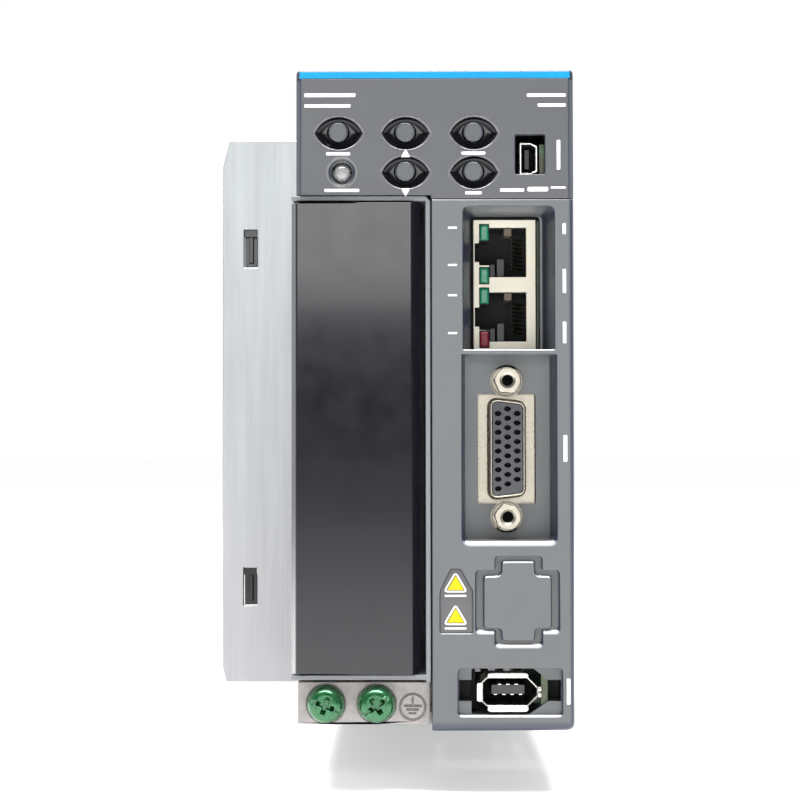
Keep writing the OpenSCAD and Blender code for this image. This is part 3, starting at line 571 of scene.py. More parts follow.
def label_yellow():
    look = glossy("label_yellow", (0.46, 0.37, 0.004), 0.35, sockets={"Specular_IOR_Level": 0.2})
    look.tint(look.spread(look.noise(0.5, 4), 0.0, 0.2), (0.40, 0.31, 0.004))
    return look.done()


def printed_white():
    """Pad-printed ink, a little thin in places."""
    look = Look("printed_white", (0.60, 0.61, 0.62), 0.5)
    look.tint(look.spread(look.noise(0.25, 4), 0.0, 0.5, 0.45, 0.7), (0.42, 0.43, 0.45))
    look.shine(look.noise(0.4, 3), 0.4, 0.6)
    look.bump(look.noise(0.15, 2), 0.004)
    return look.done()


def floor_paint():
    look = Look("floor_paint", (0.86, 0.86, 0.86), 0.75, Emission_Color=(1, 1, 1, 1), Emission_Strength=0.45)
    look.tint(look.spread(look.noise(60, 3), 0.0, 0.1), (0.84, 0.84, 0.84))
    look.shine(look.noise(30, 3), 0.75, 0.9)
    look.bump(look.noise(3, 2), 0.01, 0.3)
    return look.done()


MAKERS = {f.__name__: f for f in (
    brushed_aluminium, extruded_aluminium, cast_aluminium, zinc_steel, green_steel, nickel_plate,
    io_nickel, copper, gold_contact, case_plastic, bezel_plastic, panel_plastic, operator_plastic,
    key_plastic, dark_plastic, io_plastic, terminal_plastic, fan_plastic, cream_plastic, header_cream,
    cover_gloss, accent_blue, lamp_clear, lamp_green, lamp_red, board_green, chip_black,
    capacitor_sleeve, relay_blue, choke_core, transformer_tape, label_dark, label_yellow)}
SLOT_OF = {part["node"]: part["material_slot"] for part in frame["record"]["subparts"]}
MATERIALS = {slot: MAKERS[slot]() for slot in sorted(set(SLOT_OF.values()))}
PRINT = printed_white()
# Painted highlight: a lighter copy of the housing plastic for the top edge over the coloured strip.
LIP_HIGHLIGHT = with_painted_edge_shade(moulded("lip_highlight_plastic", (0.30, 0.31, 0.33), 0.28, grain=0.4, grain_height=0.003))
RIM = moulded("rim_plastic", (0.088, 0.090, 0.096), 0.2, grain=0.5, grain_height=0.001, sockets={"Coat_Weight": 0.8, "Coat_Roughness": 0.12}).done()
WELL = glossy("well_gloss", (0.002, 0.002, 0.0035), 0.1, sockets={"Specular_IOR_Level": 0.3}).done()
# Painted shade: near-black for linings, discs and plates that stand in for the shade inside cavities, bores and slots.
SHADE_BLACK = moulded("painted_shade_black", (0.0008, 0.0008, 0.001), 0.75, grain=0.3, grain_height=0.004).done()
# Painted shade: a darker copy of the jack's cream for the tabs inside its cavities.
SHADED_CREAM_TAB = moulded("tab_shaded_cream", (0.10, 0.075, 0.05), 0.5, grain=0.3, grain_height=0.006).done()
SPRING = metal("spring_silver", (0.80, 0.80, 0.78), 0.25, grain=0.3, grain_height=0.001).done()

# Edge radius in millimetres of the nodes that keep their CAD mesh.
EDGE = {
    "mounting_plate": 0.35, "flange_clips": 0.15, "heat_sink": 0.25, "plate_screws": 0.08,
    "case_shell": 0.3, "case_screws": 0.08, "ground_foot": 0.3, "ground_washers": 0.12,
    "foot_screw": 0.12, "terminal_bezel": 0.25, "terminal_cover": 0.28, "terminal_block": 0.2,
    "terminal_clamps": 0.1, "terminal_screws": 0.1, "terminal_board": 0.08, "board_posts": 0.1,
    "operator_panel": 0.25, "panel_board": 0.08, "key_switches": 0.15,
    "service_port_shell": 0.08, "service_port_tongue": 0.08, "network_jack": 0.15,
    "network_contacts": 0.03, "network_shield": 0.06, "io_contacts": 0.03,
    "encoder_tongue": 0.1, "control_board": 0.08, "control_chips": 0.12,
    "board_headers": 0.12, "power_board": 0.08, "bus_capacitors": 0.5, "power_module": 0.2,
    "module_screws": 0.1, "charge_relay": 0.25, "line_choke": 0.5, "supply_transformer": 0.3,
    "fan_frame": 0.25, "fan_rotor": 0.2, "fan_screws": 0.1,
}
for node_name, node_object in NODES.items():
    node_object.data.materials.clear()
    node_object.data.materials.append(MATERIALS[SLOT_OF[node_name]])
    if node_name in EDGE:
        soften(node_object, EDGE[node_name])
NODES["flange_clips"].data.materials[0] = WELL


def place(obj, slot, body, *nodes, look=None):
    """Gives a finer piece its material and body, and the CAD nodes that it stands for."""
    obj.data.materials.clear()
    obj.data.materials.append(look or MATERIALS[slot])
    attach(obj, body)
    if nodes:
        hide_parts(*nodes)
    return obj


def combine(obj, operation, others):
    """Booleans the other objects into one and removes them."""
    for other in others:
        step = obj.modifiers.new("step", "BOOLEAN")
        step.operation = operation
        step.solver = "EXACT"
        step.object = other
    bpy.context.view_layer.update()
    mesh = bpy.data.meshes.new_from_object(obj.evaluated_get(bpy.context.evaluated_depsgraph_get()))
    obj.modifiers.clear()
    obj.data = mesh
    for other in others:
        bpy.data.objects.remove(other)
    return obj


def crisp(obj, angle=38):
    """Keeps edges sharper than the angle, and shades the rest by the larger faces."""
    bm = bmesh.new()
    bm.from_mesh(obj.data)
    bmesh.ops.remove_doubles(bm, verts=bm.verts, dist=1e-6)
    bm.normal_update()
    limit = math.radians(angle)
    flat = {face: max(abs(c) for c in face.normal) > 0.99999 for face in bm.faces}
    for edge in bm.edges:
        turn = edge.calc_face_angle(0) if len(edge.link_faces) == 2 else math.pi
        mixed = turn > 0.03 and any(flat[face] for face in edge.link_faces)
        edge.smooth = turn < limit and not mixed
    for face in bm.faces:
        face.smooth = True
    bm.to_mesh(obj.data)
    bm.free()
    normals = obj.modifiers.new("normals", "WEIGHTED_NORMAL")
    normals.keep_sharp = True
    normals.weight = 90
    return obj


def span(node):
    """Lowest and highest corner of a CAD node, in millimetres."""
    low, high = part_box(node)
    return low / MM, high / MM


def mm_outline(points, radii, steps=5):
    """Rounded outline given in millimetres, in metres."""
    return rounded([(x * MM, z * MM) for x, z in points], [r * MM for r in radii], steps)


def block(name, x0, y0, z0, x1, y1, z1):
    """Plain box in millimetres, used to cut and to join."""
    bm = bmesh.new()
    outline = [Vector((x * MM, z * MM)) for x, z in box_outline(x0, z0, x1, z1)]
    add_loops(bm, [outline_loop(outline, y0 * MM), outline_loop(outline, y1 * MM)], True, True)
    return new_object(name, bm, smooth=False)


def prism(name, outline, y0, y1):
    """Straight prism along Y from an outline in metres, with its ends in millimetres."""
    bm = bmesh.new()
    add_loops(bm, [outline_loop(outline, y0 * MM), outline_loop(outline, y1 * MM)], True, True)
    return new_object(name, bm, smooth=False)


def drum(name, x, z, radius, y0, y1, count=48):
    bm = bmesh.new()
    lathe_y(bm, x * MM, z * MM, [(radius * MM, y0 * MM), (radius * MM, y1 * MM)], count)
    return new_object(name, bm, smooth=False)


def lip_rows(outer, inner, face, steps=5):
    """Rows of a rounded mouth: at each point the lip is as deep as it is wide. The face is in metres."""
    rows = [outline_loop(outer, face - 0.5 * MM)]
    for k in range(steps + 1):
        a = math.radians(90 * k / steps)
        rows.append([Vector((i.x + (o.x - i.x) * (1 - math.sin(a)), face + (o - i).length * (1 - math.cos(a)),
                             i.y + (o.y - i.y) * (1 - math.sin(a)))) for o, i in zip(outer, inner)])
    return rows


def recess(name, face, outer, lips, floor, depth, radii, floor_radii):
    """Cutter for a recess. The outlines are boxes (x0, z0, x1, z1), the lips left, bottom, right, top."""
    x0, z0, x1, z1 = outer
    left, bottom, right, top = lips
    mouth = mm_outline(box_outline(x0, z0, x1, z1), radii)
    inner = mm_outline(box_outline(x0 + left, z0 + bottom, x1 - right, z1 - top), radii)
    ground = mm_outline(box_outline(*floor), floor_radii)
    rows = lip_rows(mouth, inner, face * MM)
    rows.append(outline_loop(ground, (face + depth) * MM))
    bm = bmesh.new()
    add_loops(bm, rows, True, True)
    return new_object(name, bm)


# ---------------------------------------------------------------- front panel and its wells, one moulding

def cross(wide, flat, radius):
    """Outline of two crossed boxes (x0, z0, x1, z1), the first the taller, counter-clockwise."""
    points = [(wide[0], wide[1]), (wide[2], wide[1]), (wide[2], flat[1]), (flat[2], flat[1]), (flat[2], flat[3]),
              (wide[2], flat[3]), (wide[2], wide[3]), (wide[0], wide[3]), (wide[0], flat[3]), (flat[0], flat[3]),
              (flat[0], flat[1]), (wide[0], flat[1])]
    outward, inward = radius
    return mm_outline(points, [outward, outward, inward, outward, outward, inward] * 2, 4)


def moat(face, middle_x, middle_z):
    """Cutter for the groove round the cross-shaped knock-out."""
    def grown(wide, flat, side, bottom, radius):
        a = (wide[0] - side, wide[1] - bottom, wide[2] + side, wide[3] + side)
        b = (flat[0] - side, flat[1] - bottom, flat[2] + side, flat[3] + side)
        return cross(*[(middle_x + v[0], middle_z + v[1], middle_x + v[2], middle_z + v[3]) for v in (a, b)], radius)
    soft, round_in = (1.1, 0.6), (0.9, 1.9)
    tall_out, flat_out = (-5.7, -11.1, 6.1, 11.4), (-10.3, -7.8, 10.2, 8.0)
    tall_in, flat_in = (-3.9, -9.2, 4.1, 9.7), (-8.2, -6.2, 8.1, 6.2)
    rows = lip_rows(grown(tall_out, flat_out, 0, 0, soft), grown(tall_out, flat_out, -0.35, -1.1, soft), face * MM)
    rows.append(outline_loop(grown(tall_out, flat_out, -0.4, -1.15, soft), (face + 1.3) * MM))
    rows.append(outline_loop(grown(tall_in, flat_in, 0.1, 0.1, round_in), (face + 1.3) * MM))
    inner = lip_rows(grown(tall_in, flat_in, -0.35, -0.35, round_in), grown(tall_in, flat_in, 0, 0, round_in), face * MM)
    rows += list(reversed(inner))
    bm = bmesh.new()
    add_loops(bm, rows + [rows[0]])
    return new_object("cut_moat", bm)


def front_face():
    """The panel and the three wells behind it as the one moulding that they are, with rounded mouths."""
    low, high = span("front_panel")
    face, back = low.y, high.y
    corners = [0.8, 2.0, 0.3, 0.3]
    outer = mm_outline(box_outline(low.x, low.z, high.x, high.z), corners)
    front = mm_outline(box_outline(low.x + 0.3, low.z + 1.6, high.x - 0.9, high.z - 0.25), corners)
    rows = []
    for k in range(7):
        a = math.radians(90 * k / 6)
        rows.append([Vector((o.x + (f.x - o.x) * (1 - math.sin(a)),
                             face * MM + (abs(o.x - f.x) * 2.6 + abs(o.y - f.y) * 0.8) * (1 - math.cos(a)),
                             o.y + (f.y - o.y) * (1 - math.sin(a)))) for o, f in zip(outer, front)])
    rows.append(outline_loop(outer, back * MM))
    bm = bmesh.new()
    add_loops(bm, rows, True, True)
    panel = new_object("front_face", bm)
    combine(panel, "DIFFERENCE", [block("cut_inside", low.x + 1.4, face + 2.5, low.z + 2.2, high.x - 2.2, back + 1, high.z + 1)])
    wells = []
    for name in ("network_well", "io_well", "encoder_well"):
        a, b = span(name)
        wells.append(block("add_" + name, a.x, a.y - 0.6, a.z + 0.01, b.x, b.y, b.z - 0.01))
    combine(panel, "UNION", wells)
    cutters = []
    a, b = span("network_well")
    floor = b.y - 1.6
    cutters.append(recess("cut_network", face, (a.x + 1.6, a.z + 0.3, b.x - 1.6, b.z - 1.25), (0.35, 0.25, 0.35, 0.35),
                          (a.x + 4.3, a.z + 0.7, b.x - 4.0, b.z - 2.65), floor - face, [0.4, 0.4, 2.0, 2.0], [0.4, 0.4, 1.3, 1.3]))
    jack_low, jack_high = span("network_jack")
    opening = mm_outline(box_outline(jack_low.x - 0.95, jack_low.z - 0.15, jack_high.x + 1.15, jack_high.z + 1.0), [1.1, 1.1, 1.2, 1.2])
    cutters.append(prism("cut_jack", opening, floor - 1, b.y + 1))
    a, b = span("io_well")
    cutters.append(recess("cut_io", face, (a.x + 1.3, a.z + 1.45, b.x - 1.2, b.z - 0.3), (0.35, 1.3, 0.35, 0.25),
                          (a.x + 2.6, a.z + 2.85, b.x - 2.3, b.z - 0.7), floor - face, [2.0, 2.0, 0.4, 0.4], [1.2, 1.2, 0.4, 0.4]))
    io = centre("io_jackscrews") / MM
    opening = mm_outline(box_outline(io.x - 7.1, io.z - 13.5, io.x + 7.1, io.z + 13.5), [0.5] * 4)
    cutters.append(prism("cut_plate", opening, floor - 1, b.y + 1))
    half = jackscrew_half()
    for s in (-1, 1):
        cutters.append(drum("cut_lobe", io.x, io.z + s * half, 4.0, floor - 1, b.y + 1))
    a, b = span("encoder_shell")
    enc_x, enc_z = a.x + 8.2, (a.z + b.z) / 2
    box_mm = (enc_x - 12.9, enc_z - 5.9, enc_x + 12.6, enc_z + 6.1)
    cutters.append(recess("cut_encoder", face, box_mm, (0.3, 0.45, 0.3, 0.3),
                          (box_mm[0] + 0.4, box_mm[1] + 0.5, box_mm[2] - 0.4, box_mm[3] - 0.35), 1.7, [1.3] * 4, [1.0] * 4))
    shape = [(enc_x - 9.4, enc_z - 5.3), (enc_x + 4.4, enc_z - 5.3), (enc_x + 9.0, enc_z - 2.2), (enc_x + 9.0, enc_z + 2.9),
             (enc_x + 5.4, enc_z + 5.6), (enc_x - 9.4, enc_z + 5.6)]
    cutters.append(prism("cut_shell", mm_outline(shape, [0.5] * 6), face + 1, face + 9))
    cutters.append(block("cut_slots", enc_x - 12.4, face + 1, enc_z - 2.2, enc_x + 12.1, face + 9, enc_z + 2.9))
    a, b = span("label_plate")
    sign = sign_outline(-0.15)
    rows = lip_rows(offset_outline(sign, -0.12 * MM), sign, face * MM, 3)
    rows.append(outline_loop(sign, (face + 0.8) * MM))
    bm = bmesh.new()
    add_loops(bm, rows, True, True)
    cutters.append(new_object("cut_sign", bm))
    cutters.append(moat(face, enc_x + 1.7, a.z + 7.35))
    combine(panel, "DIFFERENCE", cutters)
    crisp(panel)
    return place(panel, "panel_plastic", "body", "front_panel", "network_well", "io_well", "encoder_well")


def sign_outline(inset):
    """House-shaped outline of the sign inlay."""
    a, b = span("label_plate")
    points = [(a.x, a.z), (b.x, a.z), (b.x, b.z - 5.25), (b.x - 2.9, b.z), (a.x + 2.5, b.z), (a.x, b.z - 5.25)]
    return offset_outline(mm_outline(points, [0.5] * 6), inset * MM)


# ---------------------------------------------------------------- coloured strip and the lip over it

def top_strip():
    low, high = span("accent_strip")
    bm = bmesh.new()
    outline = mm_outline(box_outline(low.x + 0.9, low.z, high.x - 0.9, high.z - 0.4), [0.15] * 4)
    plate(bm, outline, low.y * MM, high.y * MM, 0.15 * MM)
    place(crisp(new_object("accent_band", bm)), "accent_blue", "body", "accent_strip")
    radii = [0.02, 0.02, 0.3, 0.3, 0.02, 0.02, 1.6, 1.6]

    def arch(side, top):
        x0, x1, x2, x3 = low.x + side, low.x + 0.87, high.x - 0.87, high.x - side
        return mm_outline([(x0, low.z), (x1, low.z), (x1, high.z - 0.4), (x2, high.z - 0.4), (x2, low.z), (x3, low.z),
                           (x3, high.z - top), (x0, high.z - top)], radii)

    rows = []
    for k in range(6):
        a = math.radians(90 * k / 5)
        rows.append([Vector((o.x + (i.x - o.x) * (1 - math.sin(a)),
                             (low.y + 0.04) * MM + (abs(o.x - i.x) * 2.6 + abs(o.y - i.y)) * (1 - math.cos(a)),
                             o.y + (i.y - o.y) * (1 - math.sin(a)))) for o, i in zip(arch(0, 0), arch(0.82, 0.16))])
    rows.append(outline_loop(arch(0, 0), high.y * MM))
    bm = bmesh.new()
    add_loops(bm, rows, True, True)
    lip = crisp(new_object("top_lip", bm))
    # Painted highlight: the lip gets the lighter copy of the housing plastic.
    return place(lip, "operator_plastic", "body", look=LIP_HIGHLIGHT)


# ---------------------------------------------------------------- keys, wells and lamp

def key_caps():
    """Flat-topped caps with a rounded rim, one for each key."""
    for name in ("mode", "up", "shift", "down", "set"):
        low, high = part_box("key_" + name)
        middle = centre("key_" + name)
        back = high.y
        collar_r = (high.x - low.x) / 2
        cap_r = collar_r - 0.9 * MM
        front = low.y - 0.1 * MM
        rim = 0.42 * MM
        profile = [(0, front)]
        profile += [(cap_r - rim + rim * math.sin(math.radians(a)), front + rim * (1 - math.cos(math.radians(a))))
                    for a in (0, 18, 36, 54, 72, 90)]
        profile += [(cap_r, back - 1.85 * MM), (collar_r, back - 1.85 * MM), (collar_r, back - 1.25 * MM),
                    (1.2 * MM, back - 1.25 * MM), (1.2 * MM, back)]
        bm = bmesh.new()
        lathe_y(bm, middle.x, middle.z, profile)
        place(crisp(new_object(f"key_{name}_cap", bm)), "key_plastic", name + "_key", "key_" + name)


def eye_radius(angle, half_w, half_h):
    """Distance from the middle of an eye-shaped outline to its rim, at an angle in radians."""
    big = (half_w ** 2 + half_h ** 2) / (2 * half_h)
    drop = big - half_h
    s = abs(math.sin(angle))
    return -drop * s + math.sqrt(drop * drop * s * s + big * big - drop * drop)


def key_wells():
    """Glossy dished liners in the eye-shaped pockets round the keys, and the rounded rims round them."""
    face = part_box("operator_panel")[0].y
    half_w, half_h = 6.05 * MM, 4.05 * MM
    hole = 2.5 * MM
    count = 96
    dark = bmesh.new()
    pale = bmesh.new()
    for name in ("mode", "up", "shift", "down", "set"):
        middle = centre("key_" + name)
        x0, z0 = middle.x + 0.15 * MM, middle.z - 0.3 * MM

        def ring(t, depth):
            loop = []
            for i in range(count):
                a = 2 * math.pi * i / count
                rim = eye_radius(a, half_w, half_h)
                out = Vector((x0 + rim * math.cos(a), 0, z0 + rim * math.sin(a)))
                inn = Vector((middle.x + hole * math.cos(a), 0, middle.z + hole * math.sin(a)))
                p = inn.lerp(out, t)
                loop.append(Vector((p.x, face + depth * MM, p.z)))
            return loop

        loops = [ring(t, depth) for t, depth in ((0.9, 0.4), (0.86, 0.56), (0.8, 0.74), (0.72, 0.92),
                                                 (0.58, 1.08), (0.35, 1.2), (0.1, 1.24), (0.0, 1.24))]
        add_loops(dark, loops + [ring(0.0, 1.29), ring(0.9, 1.29), loops[0]])
        steps = [(1.1, 0.0), (1.09, -0.04), (1.06, -0.06), (1.02, -0.02), (0.98, 0.06), (0.94, 0.18), (0.91, 0.33), (0.89, 0.55)]
        rim_loops = [ring(t, depth) for t, depth in steps]
        add_loops(pale, rim_loops + [ring(0.89, 0.7), ring(1.0, 0.7), ring(1.0, 0.15), ring(1.09, 0.03), rim_loops[0]])
    place(new_object("key_wells", dark), "dark_plastic", "body", look=WELL)
    lamp = centre("charge_lamp")
    seat = (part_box("charge_lamp")[1].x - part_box("charge_lamp")[0].x) / 2 + 0.15 * MM
    profile = [(seat + 0.75 * MM, 0.0), (seat + 0.68 * MM, -0.05), (seat + 0.5 * MM, -0.06), (seat + 0.3 * MM, 0.0),
               (seat + 0.15 * MM, 0.16), (seat + 0.08 * MM, 0.4), (seat + 0.08 * MM, 0.6), (seat + 0.14 * MM, 0.6), (seat + 0.6 * MM, 0.04)]
    loops = [circle_loop(lamp.x, lamp.z, r, face + d * MM, 64) for r, d in profile]
    add_loops(pale, loops + [loops[0]])
    return place(new_object("key_rims", pale), "operator_plastic", "body", look=RIM)


def charge_lamp():
    """Clear dome with a collar."""
    low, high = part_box("charge_lamp")
    middle = centre("charge_lamp")
    collar = (high.x - low.x) / 2
    dome = collar - 0.5 * MM
    top = low.y
    profile = [(0, top)]
    profile += [(dome * math.sin(math.radians(a)), top + dome * (1 - math.cos(math.radians(a)))) for a in range(10, 91, 10)]
    profile += [(dome, high.y - 1.0 * MM), (collar, high.y - 1.0 * MM), (collar, high.y)]
    bm = bmesh.new()
    lathe_y(bm, middle.x, middle.z, profile)
    place(crisp(new_object("charge_lamp_dome", bm)), "lamp_clear", "body", "charge_lamp")


# ---------------------------------------------------------------- network jack

# Heights of the three green lamps and the red one above the middle of the jack.
LAMP_Z = (13.0, 2.4, -2.65, -13.4)


def jack_inside():
    """Painted shade: black linings in the two plug cavities, black slots round the lamp lenses and black plates behind
    the gaps round the jack; and the coding tab, in a darker copy of the cream as painted shade, and the step in each
    cavity.
    """
    low, high = span("network_jack")
    face = low.y
    dark = bmesh.new()
    grey = bmesh.new()
    tabs = bmesh.new()
    x0, x1, x2 = low.x + 1.4, low.x + 3.9, low.x + 13.0
    for offset in (8.1, -7.85):
        z = centre("network_jack").z / MM + offset
        shape = [(x0 - 1.07, z - 2.3), (x0, z - 2.3), (x0, z - 3.15), (x1, z - 3.15), (x1, z - 6.05), (x2, z - 6.05), (x2, z + 6.05),
                 (x1, z + 6.05), (x1, z + 3.15), (x0, z + 3.15), (x0, z + 2.3), (x0 - 1.07, z + 2.3)]
        outer = [Vector((a * MM, b * MM)) for a, b in shape]
        outer = offset_outline(outer, 0.02 * MM)
        inner = offset_outline(outer, 0.14 * MM)
        rows = [outline_loop(outer, (face + 8.6) * MM), outline_loop(outer, (face + 0.85) * MM),
                outline_loop(inner, (face + 0.85) * MM), outline_loop(inner, (face + 8.4) * MM)]
        add_loops(dark, rows, True, True)
        for bm, a, b, front, back in ((tabs, (x1 + 3.6, z + 4.1), (x1 + 5.5, z + 5.85), 0.35, 6.0),
                                      (grey, (x1 + 1.9, z - 5.85), (x1 + 3.8, z - 1.4), 2.4, 8.3),
                                      (grey, (x1 + 0.2, z - 5.85), (x1 + 1.6, z - 2.6), 3.6, 8.3)):
            outline = [Vector(p) for p in mm_outline(box_outline(*a, *b), [0.2] * 4, 3)]
            plate(bm, outline, (face + front) * MM, (face + back) * MM, 0.15 * MM)
    for offset in LAMP_Z:
        z = centre("network_jack").z / MM + offset
        outline = mm_outline(box_outline(x0 + 0.02, z - 2.13, x1 - 0.02, z + 2.13), [0.05] * 4, 2)
        plate(dark, outline, (face + 0.3) * MM, (face + 2.45) * MM, 0.02 * MM, 1)
    # Painted shade: black plates behind the gaps round the jack, so that the gaps look dark.
    back = span("network_well")[1].y
    board = span("control_board")
    gaps = ((low.x - 0.95, low.z - 0.15, low.x - 0.03, high.z + 1.0), (low.x - 0.03, high.z + 0.03, board[0].x - 0.05, high.z + 1.0),
            (high.x + 0.03, low.z - 0.1, board[0].x - 0.06, high.z + 0.03), (board[0].x + 0.45, low.z - 0.1, high.x + 1.15, high.z + 1.0))
    for x_low, z_low, x_high, z_high in gaps:
        outline = mm_outline(box_outline(x_low, z_low, x_high, z_high), [0.02] * 4, 1)
        plate(dark, outline, (back - 0.7) * MM, (back - 0.2) * MM, 0.01 * MM, 1)
    place(crisp(new_object("jack_shade_liners", dark)), "dark_plastic", "body", look=SHADE_BLACK)
    place(crisp(new_object("jack_steps", grey)), "dark_plastic", "body")
    place(crisp(new_object("jack_tabs", tabs)), "dark_plastic", "body", look=SHADED_CREAM_TAB)


def jack_lamps():
    """Pillow-shaped light guides, each a little taller than wide, in their slots of painted shade."""
    for node, slot in (("network_lamps_green", "lamp_green"), ("network_lamp_red", "lamp_red")):
        low, high = span(node)
        bm = bmesh.new()
        middles = LAMP_Z[:3] if node == "network_lamps_green" else LAMP_Z[3:]
        for offset in middles:
            z = centre("network_jack").z / MM + offset
            outline = mm_outline(box_outline(low.x + 0.12, z - 1.95, high.x - 0.1, z + 1.95), [0.35] * 4, 5)
            rows = []
            for k in range(6):
                a = math.radians(90 * k / 5)
                inward = 0.55 * (1 - math.sin(a))
                middle = Vector(((low.x + high.x) / 2 * MM, z * MM))
                loop = [middle + Vector(((p.x - middle.x) * (1 - inward / 1.2), (p.y - middle.y) * (1 - inward / 1.95)))
                        for p in outline]
                rows.append(outline_loop(loop, (low.y + 0.55 * (1 - math.cos(a))) * MM))
            rows.append(outline_loop(outline, high.y * MM))
            add_loops(bm, rows, True, True)
        place(crisp(new_object(node + "_lens", bm)), slot, "body", node)


# ---------------------------------------------------------------- I/O connector

def jackscrew_half():
    """Half the distance between the jackscrews, in millimetres."""
    low, high = span("io_jackscrews")
    return (high.z - low.z) / 2 - (high.x - low.x) / 2 * math.cos(math.radians(30))


def d_outline_points(inset=0.0, steps=7):
    """D outline of the I/O connector, from its plate's box."""
    middle = centre("io_jackscrews")
    x, z = middle.x, middle.z
    half_x, tall, short = 4.2 * MM, 12.2 * MM, 11.2 * MM
    points = [(x - half_x, z - tall), (x + half_x, z - short), (x + half_x, z + short), (x - half_x, z + tall)]
    return offset_outline(rounded(points, [1.9 * MM] * 4, steps), inset)


def io_plate():
    """Plated flange and drawn D shell with a rolled lip."""
    low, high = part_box("io_plate")
    front, back = low.y, high.y
    plate_front = back - 0.8 * MM
    wall = 0.42 * MM
    flare = 0.6 * MM
    rows = [(-flare, plate_front + 0.02 * MM), (-flare, plate_front - 0.35 * MM), (-flare * 0.94, plate_front - 0.5 * MM),
            (-flare * 0.8, plate_front - 0.6 * MM), (-flare * 0.3, plate_front - 0.85 * MM), (-flare * 0.1, plate_front - 1.05 * MM),
            (0, plate_front - 1.5 * MM), (0, front + 0.2 * MM), (0.06 * MM, front + 0.06 * MM), (0.2 * MM, front),
            (0.34 * MM, front + 0.06 * MM), (wall, front + 0.2 * MM), (wall, back)]
    bm = bmesh.new()
    add_loops(bm, [outline_loop(d_outline_points(inset), y) for inset, y in rows])
    shell = new_object("io_shell", bm)
    place(crisp(shell, 60), "io_nickel", "body")
    bm = bmesh.new()
    plate(bm, mm_outline(box_outline(low.x / MM, low.z / MM, high.x / MM, high.z / MM), [1.0] * 4), plate_front, back, 0.12 * MM)
    flange = new_object("io_plate_body", bm)
    cutters = [prism("cut_d", d_outline_points(0.1 * MM), plate_front / MM - 2, back / MM + 2)]
    middle = centre("io_jackscrews") / MM
    for s in (-1, 1):
        cutters.append(drum("cut_hole", middle.x, middle.z + s * jackscrew_half(), 1.65, plate_front / MM - 2, back / MM + 2))
    combine(flange, "DIFFERENCE", cutters)
    place(crisp(flange), "io_nickel", "body", "io_plate")


def io_insulator():
    """Insulator with 26 lens-shaped openings in three columns, each with a soft edge."""
    low, high = span("io_insulator")
    contacts_low, contacts_high = span("io_contacts")
    front = low.y
    middle = centre("io_contacts") / MM
    pitch = (contacts_high.z - contacts_low.z - 1.2) / 8.5
    spots = [(middle.x - 2.33, middle.z + (3.75 - i) * pitch) for i in range(9)]
    spots += [(middle.x, middle.z + (4.25 - i) * pitch) for i in range(9)]
    spots += [(middle.x + 2.33, middle.z + (3.75 - i) * pitch) for i in range(8)]
    bm = bmesh.new()
    plate(bm, d_outline_points(0.5 * MM), front * MM, (low.y + 6.8) * MM, 0.15 * MM)
    body = new_object("io_insulator_front", bm)
    holes = bmesh.new()
    for x, z in spots:
        rows = []
        for depth, grow in ((-0.3, 0.16), (0.0, 0.16), (0.18, 0.0), (3.6, 0.0)):
            loop = []
            for i in range(24):
                a = 2 * math.pi * i / 24
                r = eye_radius(a, (0.78 + grow) * MM, (0.56 + grow * 0.8) * MM)
                loop.append(Vector((x * MM + r * math.cos(a), (front + depth) * MM, z * MM + r * math.sin(a))))
            rows.append(loop)
        add_loops(holes, rows, True, True)
    combine(body, "DIFFERENCE", [new_object("cut_holes", holes)])
    place(crisp(body), "io_plastic", "body", "io_insulator")
    # Painted shade: a black disc 1.5 mm down each opening, standing in for the shade in the holes and hiding the
    # contacts behind it.
    floor = bmesh.new()
    for x, z in spots:
        lathe_y(floor, x * MM, z * MM, [(0.7 * MM, (front + 1.5) * MM), (0.7 * MM, (front + 1.7) * MM)], 16)
    rear = bmesh.new()
    a, b = span("io_insulator")
    outline = mm_outline(box_outline(a.x, a.z, b.x, b.z), [0.6] * 4)
    plate(rear, outline, (front + 6.8) * MM, b.y * MM, 0.2 * MM)
    place(crisp(new_object("io_insulator_rear", rear)), "io_plastic", "body")
    return place(new_object("io_hole_shade", floor), "dark_plastic", "body", look=SHADE_BLACK)


